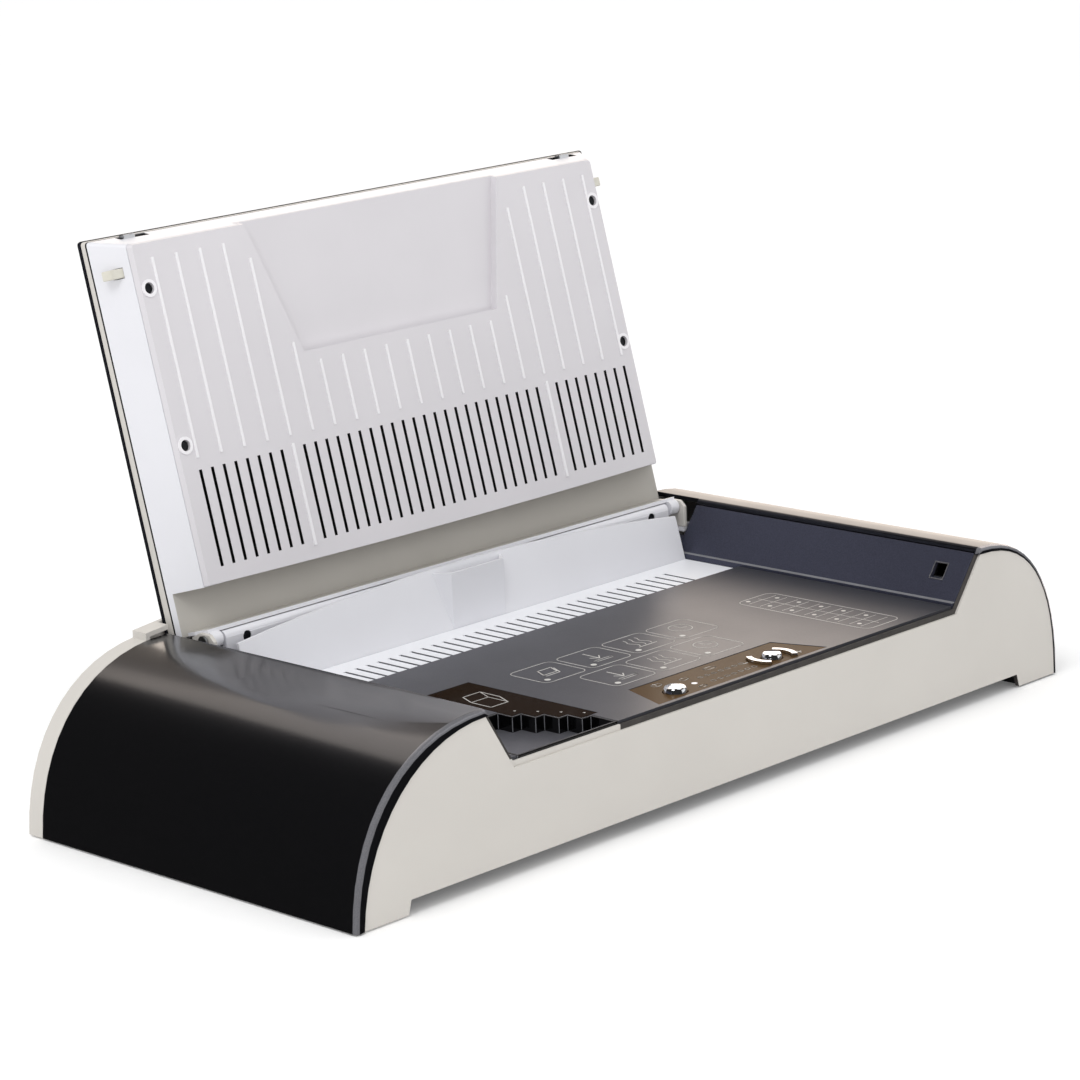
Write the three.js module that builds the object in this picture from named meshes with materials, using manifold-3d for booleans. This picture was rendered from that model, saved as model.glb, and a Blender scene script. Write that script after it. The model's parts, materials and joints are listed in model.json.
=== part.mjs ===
// Thermal binding machine, lid open. Millimetres, +Z up, front towards -Y, right towards +X.
import * as THREE from 'three';
import { mergeVertices } from 'three/addons/utils/BufferGeometryUtils.js';
import Module from 'manifold-3d';

const wasm = await Module();
wasm.setup();

// Clearances and counts shared by every piece
const gap = 0.3;
const overrun = 5;
const roundSteps = 16;
const discSteps = 32;
const archSteps = 14;
const lobeSteps = 14;
const crownSteps = 4;
const arcSteps = 8;
const shellStations = 8;

// Housing: overall depth and the low middle between the two raised ends
const housing = {
  depth: 240, leftShellInset: 11, rightShellInset: 2, wall: 2.4, bottomRise: 7, footBlock: 34, cornerRun: 2,
};
const leftLobe = {
  side: -1, centre: -175, base: -10, reach: 89.9, rise: 96, power: 2.25,
  facingReach: 84.5, facingRise: 92, facingPower: 2.05, edge: 3,
  end: housing.depth - housing.leftShellInset,
};
const rightLobe = {
  side: 1, centre: 199, base: 0, reach: 68, rise: 85.2, power: 2.4,
  facingReach: 65.7, facingRise: 81.4, facingPower: 2.5, edge: 2.7,
  end: housing.depth - housing.rightShellInset,
};
const scoop = { drop: 4.4, width: 36, edgeHeight: 84.6 };
const lip = { depth: 2.5, proud: 0.6, rounding: 2, shoulder: 0.6 };

// Recess between the ends, where the lid lies when it is shut
const recess = {
  centre: 12.75, footHeight: 55.6, topHeight: 84.3, leftFoot: -157.8, leftTop: -174.8,
  rightFoot: 178.4, rightTop: 200.1, ledge: 58.5, ledgeWidth: 2, seat: 4,
};

// Front and rear panels
const facing = { thickness: 2.5, faceDepth: 1.2, sideRim: 2.2, lowRim: 2.7 };
const rear = {
  thickness: 2.5, stepLeft: -190, stepRight: 200, stepHeight: 88.9, archTop: 100, rightInset: 1,
  lidRoom: 0.5,
};

// Bottom pan, posts and feet
const pan = {
  thickness: 2.5, low: 1, sideRoom: 0.9, postRadius: 4, bore: 1.6, screwLength: 12,
};
const foot = { radius: 8, height: 1.7, insetX: 17, insetY: 18 };

// Deck, spine gauge and control panel
const deck = { top: 57, thickness: 2.5, front: 3, stripGap: 0.5, postInset: 12 };
const gauge = {
  left: -151.5, firstStep: -109.7, stepAcross: 6.1, stepDeep: 10, steps: 4, back: 59.4, front: 4.5,
  floor: 49, wall: 1.6, windowBack: 111.3, windowRight: -78.9, windowThickness: 1.2,
};
const control = {
  centre: 13.5, front: 6, back: 35.5, frontHalf: 64, backHalf: 54, thickness: 1.8, sink: 0.2,
  carrierThickness: 2.6, carrierRim: 2.5,
};
const power = { x: -28.7, y: 15, radius: 6.3, height: 2.8, stem: 2.5 };
const select = { x: 46.2, y: 16, radius: 5.6, height: 2.8, stem: 2.5 };
const arc = { inner: 10.4, outer: 13.4, halfAngle: 40, height: 1.6, stem: 1.2 };
const button = { travel: 1.2, skirt: 1.2, crown: 0.5, edge: 0.8 };
const lights = {
  rows: 2, columns: 7, first: -3, pitch: 5.2, rowFirst: 12.5, rowPitch: 9, radius: 0.8, bar: 2, sink: 0.6,
};
const board = { top: 45.5, thickness: 1.6, postInset: 4, switchSide: 6, switchHeight: 1.7 };

// Heated channel
const strip = {
  top: 55.4, thickness: 2, width: 40, hingeInset: 17, skirt: 1.8, slotFirst: -99.5, slotPitch: 7.9,
  slots: 32, slotWidth: 1.9, slotInset: 2.4, slotLength: 24.6,
};
const carrier = { bottom: 43.7, thickness: 1.6, frontReach: 3, backReach: 11.5, endRoom: 3 };
const heater = {
  overhang: 12, plate: 2.7, element: 1.2, insulator: 3, side: 3.5, elementSide: 6.5, insulatorSide: 5,
};
const thermostat = { x: 166, inset: 20, radius: 7, height: 6 };
const fuse = { x: -128, inset: 20, radius: 2, length: 14 };

// Backrest wall with its centre pocket
const backrest = {
  half: 165.5, lean: 15.3, thickness: 1.5, peak: 88.6, fall: 9, pocketFront: 19.7, pocketBack: 26.2,
  pocketTop: 86.3, pocketWall: 1.8, sensorHalf: 11, sensorBottom: 70.5, sensorTop: 80, sensorThickness: 1.6,
};

// Hinge: axis, rail, brackets and pins
const hinge = {
  inset: 28, z: 82, tilt: 14.25, sweep: 109.5, pin: 2, pinRoom: 1.2, pinHead: 3.2, pinHeadLength: 1.5,
};
const rail = {
  endRoom: 2.2, footInset: 4.5, wall: 3, bead: 3.1, shelf: 68, shelfThickness: 2.4, screwInset: 14.3,
  screwDrop: 2,
  headRadius: 2.5, headHeight: 1.2, headRoom: 0.6, shankRadius: 1.3, shankLength: 8,
};
const barrel = { inner: 169.7, outer: 176.2, radius: 4.2 };
const bracket = {
  thickness: 2.4, frontReach: 7, backReach: 10, topFrontReach: 3.5, topBackReach: 4, top: 85.8,
  shoulder: 82.6,
};
const notch = { inset: 8.5, floor: 66, room: 3.2 };

// Lid, measured along it from the hinge (s), outwards from its inner face (n) and across (x)
const lid = {
  face: -1, outer: 21, innerHalf: 168.7, flare: 16.3, endRoom: 0.3, endRun: 7.4, lipFoot: 3.5,
  wall: 2.2, corner: 2, innerCorner: 0.7, frameFront: 1.5, frameBack: 17.5, groove: 0.6,
  coverEnd: 19.8, coverStart: 21.3,
  skin: 1.2, troughStart: 5.5, troughEnd: 26.5, troughFloor: 15, lipHalf: 176.5,
};
const panel = {
  thickness: 2.2, foot: 27.5, arch: 2.1, slotFirst: -144.8, slotPitch: 7.93, slotCount: 41, slotWidth: 2,
  slotsPerRib: 2,
  slotStart: 34.9, slotEnd: 85.5, ribOver: 2, ribWidth: 1.6, ribHeight: 1, fineRibWidth: 1.5,
  fineRibHeight: 0.7, fineRibFoot: 91.8, longRibInset: 7.8, midRibInset: 17.8, shortRibInset: 65.3,
  lowRibInset: 77,
  tubTopHalf: 93.2, tubFootHalf: 71.8, tubLength: 71.3, tubDepth: 4.5, tubWall: 1.5,
};
const dividers = [8, 32];
const longRibs = 4;
const lidScrew = {
  half: 163.6, low: 99.2, highInset: 23.1, hole: 3, ring: 4.7, ringHeight: 0.5, boss: 4, head: 2.6,
  headHeight: 1.2, shank: 1.3, length: 12, tipRoom: 0.6,
};

// Latch bolts and their thumb pads
const latch = {
  inset: 20.2, n: 7, across: 5, high: 4, length: 48.4, lead: 3, padWidth: 8, padFront: 12.4, padBack: 16.4,
  padProud: 1.5, padLength: 10, armBack: 13.4, armInset: 7.2, guideRun: 1.5, guideLength: 6.5, guideRim: 2.5,
  holeY: 8, holeZ: 7, holeReach: 15, strikeRim: 4, strikeThickness: 1.5,
};
const leftLatch = { side: -1, tip: -171, pad: -149.3, windowStart: -151.2, windowEnd: -132.3 };
const rightLatch = { side: 1, tip: 195, pad: 171.5, windowStart: 165.6, windowEnd: 185.3 };

// Electrical pieces on the pan
const supply = {
  x: 60, deckInset: 94.5, length: 96, width: 70, height: 6, thickness: 1.6, inset: 8, partsInset: 16,
  transformerLength: 34, transformerWidth: 30, transformerHeight: 26,
  relayLength: 20, relayWidth: 16, relayHeight: 16, capacitorRadius: 8, capacitorHeight: 22,
};
const inlet = {
  x: 214, z: 30, width: 30, height: 22, depth: 20, cavityWidth: 23, cavityHeight: 15, cavityDepth: 16,
  flange: 3, flangeThickness: 1.5, lap: 0.6,
};

// Sizes that follow from the ones above
const hingeY = housing.depth - hinge.inset;
const stripBack = hingeY - strip.hingeInset;
const stripFront = stripBack - strip.width;
const deckBack = stripFront - deck.stripGap;
const supplyY = deckBack - supply.deckInset;
const railHalf = barrel.inner - rail.endRoom;
const bracketInner = barrel.outer + gap;
const bracketOuter = bracketInner + bracket.thickness;
const closedAngle = hinge.sweep - hinge.tilt;
const lidOuterHalf = lid.innerHalf + lid.flare;
const lidOuterEnd = hingeY - lid.endRoom;
const lidInnerEnd = lidOuterEnd - lid.endRun;
const latchS = lidOuterEnd - latch.inset;
const deckUnder = deck.top - deck.thickness;
const carrierTop = carrier.bottom + carrier.thickness;
const stripUnder = strip.top - strip.thickness;
const panFloor = housing.bottomRise + pan.thickness;
const rearInside = housing.depth - rear.thickness;
const leanSlope = Math.tan(THREE.MathUtils.degToRad(backrest.lean));
const leftWall = wallLine(recess.leftFoot, recess.leftTop);
const rightWall = wallLine(recess.rightFoot, recess.rightTop);
const coverFront = lid.frameBack + lid.groove;
const panelBack = lid.face + panel.thickness;
const notchHalf = lidOuterHalf + gap + notch.room;
const boardBottom = board.top - board.thickness;
const supplyUnder = panFloor + supply.height;
const lensTop = deck.top - control.sink;
const lensUnder = lensTop - control.thickness;

function material(color, roughness, metalness) {
  return new THREE.MeshStandardMaterial({ color, roughness, metalness });
}

const finish = {
  panel: [0xd0ccc6, 0.55, 0], graphite: [0x2b2826, 0.35, 0.3], bluegrey: [0x343a4a, 0.4, 0.3],
  deck: [0x5e5e60, 0.35, 0.3], white: [0xe4e4e8, 0.5, 0], lidpanel: [0xd8d5d8, 0.5, 0],
  bronze: [0x4c3f2f, 0.15, 0.4], chrome: [0xd9dade, 0.08, 1], cream: [0xe9e3d0, 0.5, 0],
  black: [0x101010, 0.5, 0], rubber: [0x161616, 0.9, 0], steel: [0xb4b6b8, 0.35, 0.9],
  aluminium: [0xc4c6c8, 0.4, 0.9], green: [0x1f5a3c, 0.5, 0], mica: [0xb9a98a, 0.7, 0],
};

// Straight line of a slanted recess wall, as its x at a height
function wallLine(footX, topX) {
  const slope = (topX - footX) / (recess.topHeight - recess.footHeight);
  return (z) => footX + (z - recess.footHeight) * slope;
}

// Closed geometry to solid
function solid(geometry) {
  const bare = geometry.clone();
  bare.deleteAttribute('normal');
  bare.deleteAttribute('uv');
  const merged = mergeVertices(bare);
  const vertProperties = new Float32Array(merged.attributes.position.array);
  const triVerts = new Uint32Array(merged.index.array);
  return new wasm.Manifold(new wasm.Mesh({ numProp: 3, vertProperties, triVerts }));
}

// Solid to geometry
function geometryOf(body) {
  const mesh = body.getMesh();
  const geometry = new THREE.BufferGeometry();
  geometry.setAttribute('position', new THREE.BufferAttribute(mesh.vertProperties, 3));
  geometry.setIndex(new THREE.BufferAttribute(mesh.triVerts, 1));
  return geometry;
}

function shapeOf(points) {
  return new THREE.Shape(points.map(([a, b]) => new THREE.Vector2(a, b)));
}

function extrusion(points, from, to) {
  const geometry = new THREE.ExtrudeGeometry(shapeOf(points), { depth: to - from, bevelEnabled: false });
  return geometry.translate(0, 0, from);
}

// Prisms of an outline along Z (x, y), along Y (x, z) and along X (y, z)
function alongZ(points, from, to) {
  return solid(extrusion(points, from, to));
}

function alongY(points, from, to) {
  return solid(extrusion(points, -to, -from).rotateX(Math.PI / 2));
}

function alongX(points, from, to) {
  const turn = new THREE.Matrix4().set(0, 0, 1, 0, 1, 0, 0, 0, 0, 1, 0, 0, 0, 0, 0, 1);
  return solid(extrusion(points, from, to).applyMatrix4(turn));
}

function box(x0, x1, y0, y1, z0, z1) {
  const geometry = new THREE.BoxGeometry(x1 - x0, y1 - y0, z1 - z0);
  return solid(geometry.translate((x0 + x1) / 2, (y0 + y1) / 2, (z0 + z1) / 2));
}

// Round bars along each axis, from one place to another
function rodZ(x, y, radius, from, to) {
  const geometry = new THREE.CylinderGeometry(radius, radius, to - from, roundSteps);
  return solid(geometry.rotateX(Math.PI / 2).translate(x, y, (from + to) / 2));
}

function rodY(x, z, radius, from, to) {
  const geometry = new THREE.CylinderGeometry(radius, radius, to - from, roundSteps);
  return solid(geometry.translate(x, (from + to) / 2, z));
}

function rodX(y, z, radius, from, to) {
  const geometry = new THREE.CylinderGeometry(radius, radius, to - from, roundSteps);
  return solid(geometry.rotateZ(Math.PI / 2).translate((from + to) / 2, y, z));
}

function union(bodies) {
  return bodies.reduce((whole, body) => whole.add(body));
}

// Closed body through rings of equal counts; capOf gives the triangles that close a ring
function loft(rings, capOf) {
  const count = rings[0].length;
  const positions = rings.flat().flatMap((p) => [p.x, p.y, p.z]);
  const index = [];
  for (let r = 0; r < rings.length - 1; r += 1) {
    for (let i = 0; i < count; i += 1) {
      const a = r * count + i;
      const b = r * count + (i + 1) % count;
      index.push(a, b, b + count, a, b + count, a + count);
    }
  }
  const last = (rings.length - 1) * count;
  for (const [a, b, c] of capOf(rings[0])) index.push(a, c, b);
  for (const [a, b, c] of capOf(rings.at(-1))) index.push(a + last, b + last, c + last);
  return bodyFrom(positions, index);
}

// Cap of a ring that runs out along one path and back along another
function ladderCap(ring) {
  return Array.from({ length: ring.length / 2 - 1 }, (_, i) => {
    const across = ring.length - 1 - i;
    return [[i, i + 1, across - 1], [i, across - 1, across]];
  }).flat();
}

// Cap of a convex ring
function fanCap(ring) {
  return Array.from({ length: ring.length - 2 }, (_, i) => [0, i + 1, i + 2]);
}

// Faces are turned outwards if the enclosed volume comes out negative
function bodyFrom(positions, index) {
  const at = (i) => new THREE.Vector3(...positions.slice(i * 3, i * 3 + 3));
  let volume = 0;
  for (let i = 0; i < index.length; i += 3) {
    volume += at(index[i]).dot(at(index[i + 1]).cross(at(index[i + 2])));
  }
  const triVerts = new Uint32Array(index);
  if (volume < 0) triVerts.reverse();
  const vertProperties = new Float32Array(positions);
  return new wasm.Manifold(new wasm.Mesh({ numProp: 3, vertProperties, triVerts }));
}

// Open path moved sideways by a distance, with mitred corners
function offsetPath(points, distance) {
  const normals = points.slice(1).map(([x, z], i) => {
    const direction = new THREE.Vector2(x - points[i][0], z - points[i][1]).normalize();
    return new THREE.Vector2(-direction.y, direction.x);
  });
  return points.map(([x, z], i) => {
    const before = normals[Math.max(i - 1, 0)];
    const after = normals[Math.min(i, normals.length - 1)];
    const middle = before.clone().add(after).normalize();
    const reach = distance / middle.dot(after);
    return [x + middle.x * reach, z + middle.y * reach];
  });
}

// Rounded side of an end shell, from the ground up to the crown
function lobeArc(lobe, reach, rise, exponent) {
  const start = Math.asin(Math.min(1, (-lobe.base / rise) ** (exponent / 2)));
  return Array.from({ length: lobeSteps + 1 }, (_, i) => {
    const angle = start + (Math.PI / 2 - start) * (i / lobeSteps);
    const out = reach * Math.max(0, Math.cos(angle)) ** (2 / exponent);
    return [lobe.centre + lobe.side * out, lobe.base + rise * Math.sin(angle) ** (2 / exponent)];
  });
}

function wallOf(lobe) {
  return lobe.side < 0 ? leftWall : rightWall;
}

function crownOf(lobe) {
  return lobe.base + lobe.rise;
}

// Top edge of the recess wall: a quarter round from the crown onto the slanted wall
function crownEdge(lobe) {
  const z = crownOf(lobe) - lobe.edge;
  const x = wallOf(lobe)(z) + lobe.side * lobe.edge;
  return Array.from({ length: crownSteps + 1 }, (_, i) => {
    const angle = (Math.PI / 2) * (1 - i / crownSteps);
    return [x - lobe.side * lobe.edge * Math.cos(angle), z + lobe.edge * Math.sin(angle)];
  });
}

// Height of the shallow scoop in the left crown: none at its ends, deepest in the middle
function scoopHeight(x, y) {
  const along = Math.sin(Math.PI * THREE.MathUtils.clamp(y / leftLobe.end, 0, 1));
  const across = (recess.leftTop - leftLobe.edge - x) / scoop.width;
  const open = crownOf(leftLobe) - scoop.edgeHeight;
  return crownOf(leftLobe) - along * (open + scoop.drop * Math.max(0, across));
}

function shellPath(lobe, y) {
  const arcPoints = lobeArc(lobe, lobe.reach, lobe.rise, lobe.power);
  const crown = crownEdge(lobe);
  const path = [...arcPoints.slice(0, -1), ...crown];
  if (lobe.side > 0) return path;
  return path.map(([x, z], i) => (i < arcPoints.length ? [x, Math.min(z, scoopHeight(x, y))] : [x, z]));
}

function ringAt(points, y) {
  return points.map(([x, z]) => new THREE.Vector3(x, y, z));
}

// End shell: a crowned skin, and a rolled lip round the front panel
function endShell(lobe) {
  const stations = Array.from({ length: shellStations + 1 }, (_, i) =>
    THREE.MathUtils.lerp(facing.thickness, lobe.end, i / shellStations));
  const inward = lobe.side * housing.wall;
  const skin = loft(stations.map((y) => {
    const path = shellPath(lobe, y);
    return ringAt([...path, ...offsetPath(path, inward).reverse()], y);
  }), ladderCap);
  const rim = facingRim(lobe).reverse();
  const lipStations = [
    [-lip.proud, lip.rounding], [0, lip.shoulder], [lip.rounding, 0], [facing.thickness, 0],
    [lip.depth + gap, lip.shoulder],
  ];
  const roll = loft(lipStations.map(([y, inset]) => {
    const path = offsetPath(shellPath(lobe, 0), lobe.side * inset);
    return ringAt([...path, ...rim], y);
  }), ladderCap);
  const edge = recess.centre + lobe.side * notchHalf;
  const inside = lobe.side < 0 ? [edge, recess.centre] : [recess.centre, edge];
  const room = box(...inside, hingeY - notch.inset, housing.depth, notch.floor, crownOf(leftLobe) + overrun);
  return skin.add(roll).subtract(room);
}

// Rounded end of the front panel, grown by a clearance, with its top corner at the recess wall
function facingPath(lobe, grow) {
  const arcPoints = lobeArc(lobe, lobe.facingReach + grow, lobe.facingRise + grow, lobe.facingPower);
  const top = arcPoints.at(-1)[1];
  return [...arcPoints, [wallOf(lobe)(top), top]];
}

// The same path with as many points as the shell's, for the lip between them
function facingRim(lobe) {
  const path = facingPath(lobe, gap);
  const [end, top] = path.at(-1);
  const flat = Array.from({ length: crownSteps + 1 }, (_, i) => [
    THREE.MathUtils.lerp(lobe.centre, end, i / crownSteps), top,
  ]);
  return [...path.slice(0, -2), ...flat];
}

// Underside of the front and rear panels: low foot blocks, high middle
function undersidePath() {
  const left = leftLobe.centre - leftLobe.reach + housing.footBlock;
  const right = rightLobe.centre + rightLobe.reach - housing.footBlock;
  return [
    [left, 0], [left + housing.cornerRun, housing.bottomRise],
    [right - housing.cornerRun, housing.bottomRise], [right, 0],
  ];
}

// Front panel's outline, its edge round the recess drawn back from the recess walls and the deck
function facingOutline(sideRim, lowRim) {
  const low = recess.footHeight - lowRim;
  const left = facingPath(leftLobe, 0);
  const right = facingPath(rightLobe, 0).reverse();
  const leftTop = [left.at(-1)[0] - sideRim, left.at(-1)[1]];
  const rightTop = [right[0][0] + sideRim, right[0][1]];
  const leftSide = left.filter(([x]) => x < leftTop[0]);
  const rightSide = right.filter(([x]) => x > rightTop[0]);
  return [
    ...leftSide, leftTop, [leftWall(low) - sideRim, low], [rightWall(low) + sideRim, low], rightTop,
    ...rightSide, ...undersidePath().reverse(),
  ];
}

// The face stands back from the recess, and a rebate behind it closes the gap
function frontPanel() {
  const face = alongY(facingOutline(facing.sideRim, facing.lowRim), 0, facing.faceDepth);
  const rebate = alongY(facingOutline(0, 0), facing.faceDepth, facing.thickness);
  return face.add(rebate);
}

// Slanted wall between a shell's crown and the deck, with the ledge that carries the deck
function cheek(lobe) {
  const wall = wallOf(lobe);
  const top = crownOf(lobe) - lobe.edge - gap;
  const ledgeEnd = wall(recess.ledge) - lobe.side * recess.ledgeWidth;
  const seat = deckUnder - gap;
  const path = [
    [wall(top), top], [wall(recess.ledge), recess.ledge], [ledgeEnd, recess.ledge], [ledgeEnd, seat],
    [ledgeEnd - lobe.side * recess.seat, seat],
  ];
  const outline = [...path, ...offsetPath(path, lobe.side * housing.wall).reverse()];
  const front = facing.thickness + gap;
  const plate = alongY(outline, front, leftLobe.end);
  const edge = recess.centre + lobe.side * (notchHalf + overrun);
  const inside = lobe.side < 0 ? [edge, recess.centre] : [recess.centre, edge];
  const room = box(...inside, hingeY - notch.inset, housing.depth, notch.floor, crownOf(leftLobe) + overrun);
  const seatEdges = [ledgeEnd, ledgeEnd - lobe.side * (recess.seat + overrun)].sort((a, b) => a - b);
  const seatRoom = box(...seatEdges, deckBack + gap, housing.depth, seat - housing.wall - overrun,
    seat + gap);
  return plate.subtract(room).subtract(seatRoom).subtract(latchOpening(lobe));
}

// Point of the lid turned down onto the closed machine
function closedPoint(n, s) {
  const shut = THREE.MathUtils.degToRad(closedAngle);
  const y = hingeY + n * Math.cos(shut) - s * Math.sin(shut);
  return [y, hinge.z + n * Math.sin(shut) + s * Math.cos(shut)];
}

function latchOpening(lobe) {
  const [y, z] = closedPoint(latch.n, latchS);
  const x = wallOf(lobe)(z);
  const reach = latch.holeReach;
  const halfY = latch.holeY / 2;
  const halfZ = latch.holeZ / 2;
  return box(x - reach, x + reach, y - halfY, y + halfY, z - halfZ, z + halfZ);
}

// Strike plate behind the latch hole, parallel to the cheek
function strikePlate(lobe) {
  const [y, z] = closedPoint(latch.n, latchS);
  const wall = wallOf(lobe);
  const halfZ = latch.holeZ / 2 + latch.strikeRim;
  const path = [[wall(z + halfZ), z + halfZ], [wall(z - halfZ), z - halfZ]];
  const near = offsetPath(path, lobe.side * (housing.wall + gap));
  const far = offsetPath(path, lobe.side * (housing.wall + gap + latch.strikeThickness));
  const halfY = latch.holeY / 2 + latch.strikeRim;
  return alongY([...near, ...far.reverse()], y - halfY, y + halfY).subtract(latchOpening(lobe));
}

function rearArch(x) {
  const middle = (rear.stepLeft + rear.stepRight) / 2;
  const share = (x - middle) / (rear.stepRight - middle);
  return rear.archTop - (rear.archTop - rear.stepHeight) * share * share;
}

function lobeHeight(lobe, x) {
  const share = Math.min(1, Math.abs(x - lobe.centre) / lobe.reach);
  return lobe.base + lobe.rise * (1 - share ** lobe.power) ** (1 / lobe.power);
}

function rearOutline(inset) {
  const left = lobeArc(leftLobe, leftLobe.reach - inset, leftLobe.rise - inset, leftLobe.power);
  const rightLess = rear.rightInset + inset;
  const right = lobeArc(rightLobe, rightLobe.reach - rightLess, rightLobe.rise - rightLess, rightLobe.power);
  const from = rear.stepLeft + inset;
  const to = rear.stepRight - inset;
  const archPoints = Array.from({ length: archSteps + 1 }, (_, i) => {
    const x = THREE.MathUtils.lerp(from, to, i / archSteps);
    return [x, rearArch(x) - inset];
  });
  const leftSide = left.filter(([x]) => x < from - housing.wall);
  const rightSide = right.filter(([x]) => x > to + housing.wall).reverse();
  return [
    ...leftSide, [from, lobeHeight(leftLobe, from) - inset], ...archPoints,
    [to, lobeHeight(rightLobe, to) - rightLess], ...rightSide,
  ];
}

// Outer face of the open lid moved back by a clearance, as a line in the side view
function openLidLine(clearance) {
  const outer = (n, s) => lidPoint(n + lid.skin + gap + clearance, s);
  return [outer(lid.coverStart, -hinge.z), outer(lid.coverEnd, lidOuterEnd)];
}

function lidPoint(n, s) {
  const tilt = THREE.MathUtils.degToRad(hinge.tilt);
  const y = hingeY + n * Math.cos(tilt) + s * Math.sin(tilt);
  return [y, hinge.z - n * Math.sin(tilt) + s * Math.cos(tilt)];
}

// Rear panel: a tray with a raised, arched middle that the open lid leans on
function rearPanel() {
  const from = leftLobe.end + gap;
  const under = undersidePath().reverse();
  const outline = [...rearOutline(0), ...under];
  const hollow = [...rearOutline(rear.thickness), ...under.map(([x, z]) => [x, z - overrun])];
  const tray = alongY(outline, from, housing.depth).subtract(alongY(hollow, from - overrun, rearInside));
  const half = notchHalf - gap;
  const lean = openLidLine(rear.lidRoom);
  const room = alongX([[hingeY, lean[0][1]], ...lean, [hingeY, lean[1][1]]], recess.centre - half,
    recess.centre + half);
  const rightRoom = box(recess.centre + half - overrun, rightLobe.centre + rightLobe.reach + overrun,
    from - overrun, rightLobe.end + gap, -overrun, rear.archTop + overrun);
  const middleRoom = box(recess.centre - half, recess.centre + half, from - overrun, rearInside,
    notch.floor, rear.archTop + overrun);
  const socket = box(inlet.x - inlet.width / 2 - gap, inlet.x + inlet.width / 2 + gap, from - overrun,
    housing.depth + overrun, inlet.z - inlet.height / 2 - gap, inlet.z + inlet.height / 2 + gap);
  return tray.subtract(room).subtract(rightRoom).subtract(middleRoom).subtract(socket);
}

// Places of the posts on the pan, with the height that each one carries
function postPlaces() {
  const shortOf = (height) => height - gap;
  const boardFront = control.front + board.postInset;
  const boardBack = control.back - board.postInset;
  const boardLeft = control.centre - control.backHalf + board.postInset;
  const boardRight = control.centre + control.backHalf - board.postInset;
  const boardPosts = [
    [boardLeft, boardFront], [boardRight, boardFront], [boardLeft, boardBack], [boardRight, boardBack],
  ];
  const right = supply.x + supply.length - supply.inset;
  const back = supplyY + supply.width - supply.inset;
  const near = [supply.x + supply.inset, supplyY + supply.inset];
  const supplyPosts = [near, [right, near[1]], [near[0], back], [right, back]];
  const middle = backrest.half / 2;
  const carrierY = stripBack - strip.skirt;
  const carrierPosts = [-middle, 0, middle].map((x) => [recess.centre + x, carrierY]);
  const deckPosts = [-middle, middle].map((x) => [recess.centre + x, deckBack - deck.postInset]);
  return [
    ...boardPosts.map((p) => [...p, shortOf(boardBottom)]),
    ...supplyPosts.map((p) => [...p, shortOf(supplyUnder)]),
    ...carrierPosts.map((p) => [...p, shortOf(carrier.bottom)]),
    ...deckPosts.map((p) => [...p, shortOf(deckUnder)]),
  ];
}

function panEnds() {
  const room = housing.wall + pan.sideRoom;
  return [leftLobe.centre - leftLobe.reach + room, rightLobe.centre + rightLobe.reach - room];
}

function bottomPan() {
  const [left, right] = panEnds();
  const under = undersidePath();
  const outline = [
    [left, pan.low], [under[0][0], pan.low], under[1], under[2], [under[3][0], pan.low], [right, pan.low],
    [right, pan.low + pan.thickness], [under[3][0] + pan.thickness, pan.low + pan.thickness],
    [under[2][0] + pan.thickness, panFloor], [under[1][0] - pan.thickness, panFloor],
    [under[0][0] - pan.thickness, pan.low + pan.thickness], [left, pan.low + pan.thickness],
  ];
  const plate = alongY(outline, facing.thickness + gap, rearInside - gap);
  const posts = postPlaces().map(([x, y, top]) => rodZ(x, y, pan.postRadius, housing.bottomRise + gap, top));
  const bores = screwPlaces().map(([x, y]) => rodZ(x, y, pan.bore, -overrun, panFloor + pan.screwLength));
  return bores.reduce((whole, bore) => whole.subtract(bore), union([plate, ...posts]));
}

function screwPlaces() {
  const tall = postPlaces().filter(([, , top]) => top > panFloor + pan.screwLength + overrun);
  return tall.map(([x, y]) => [x, y]);
}

function feetPlaces() {
  const [left, right] = panEnds();
  const back = housing.depth - foot.insetY;
  return [left + foot.insetX, right - foot.insetX].flatMap((x) => [[x, foot.insetY], [x, back]]);
}

// Deck between the cheeks, cut out for the gauge and the control panel
function deckEdge(lobe) {
  return wallOf(lobe)(recess.ledge) - lobe.side * (recess.ledgeWidth + gap);
}

function gaugeStairs(grow) {
  const points = [];
  for (let i = 0; i < gauge.steps; i += 1) {
    const x = gauge.firstStep + i * gauge.stepAcross + grow;
    const y = gauge.back - i * gauge.stepDeep + grow;
    points.push([x, y], [x, y - gauge.stepDeep]);
  }
  const end = gauge.firstStep + gauge.steps * gauge.stepAcross + grow;
  return [...points, [end, gauge.back - gauge.steps * gauge.stepDeep + grow], [end, gauge.front - grow]];
}

function gaugeOutline(grow) {
  const left = gauge.left - grow;
  return [[left, gauge.front - grow], [left, gauge.back + grow], ...gaugeStairs(grow)];
}

function windowOutline(shrink) {
  const stairs = gaugeStairs(gauge.wall + gap + shrink).slice(1, -1);
  const right = gauge.windowRight - shrink;
  return [
    [stairs[0][0], gauge.windowBack - shrink], ...stairs, [right, stairs.at(-1)[1]],
    [right, gauge.windowBack - shrink],
  ];
}

function controlOutline(grow) {
  const { centre, front, back, frontHalf, backHalf } = control;
  return [
    [centre - frontHalf - grow, front - grow], [centre + frontHalf + grow, front - grow],
    [centre + backHalf + grow, back + grow], [centre - backHalf - grow, back + grow],
  ];
}

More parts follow.
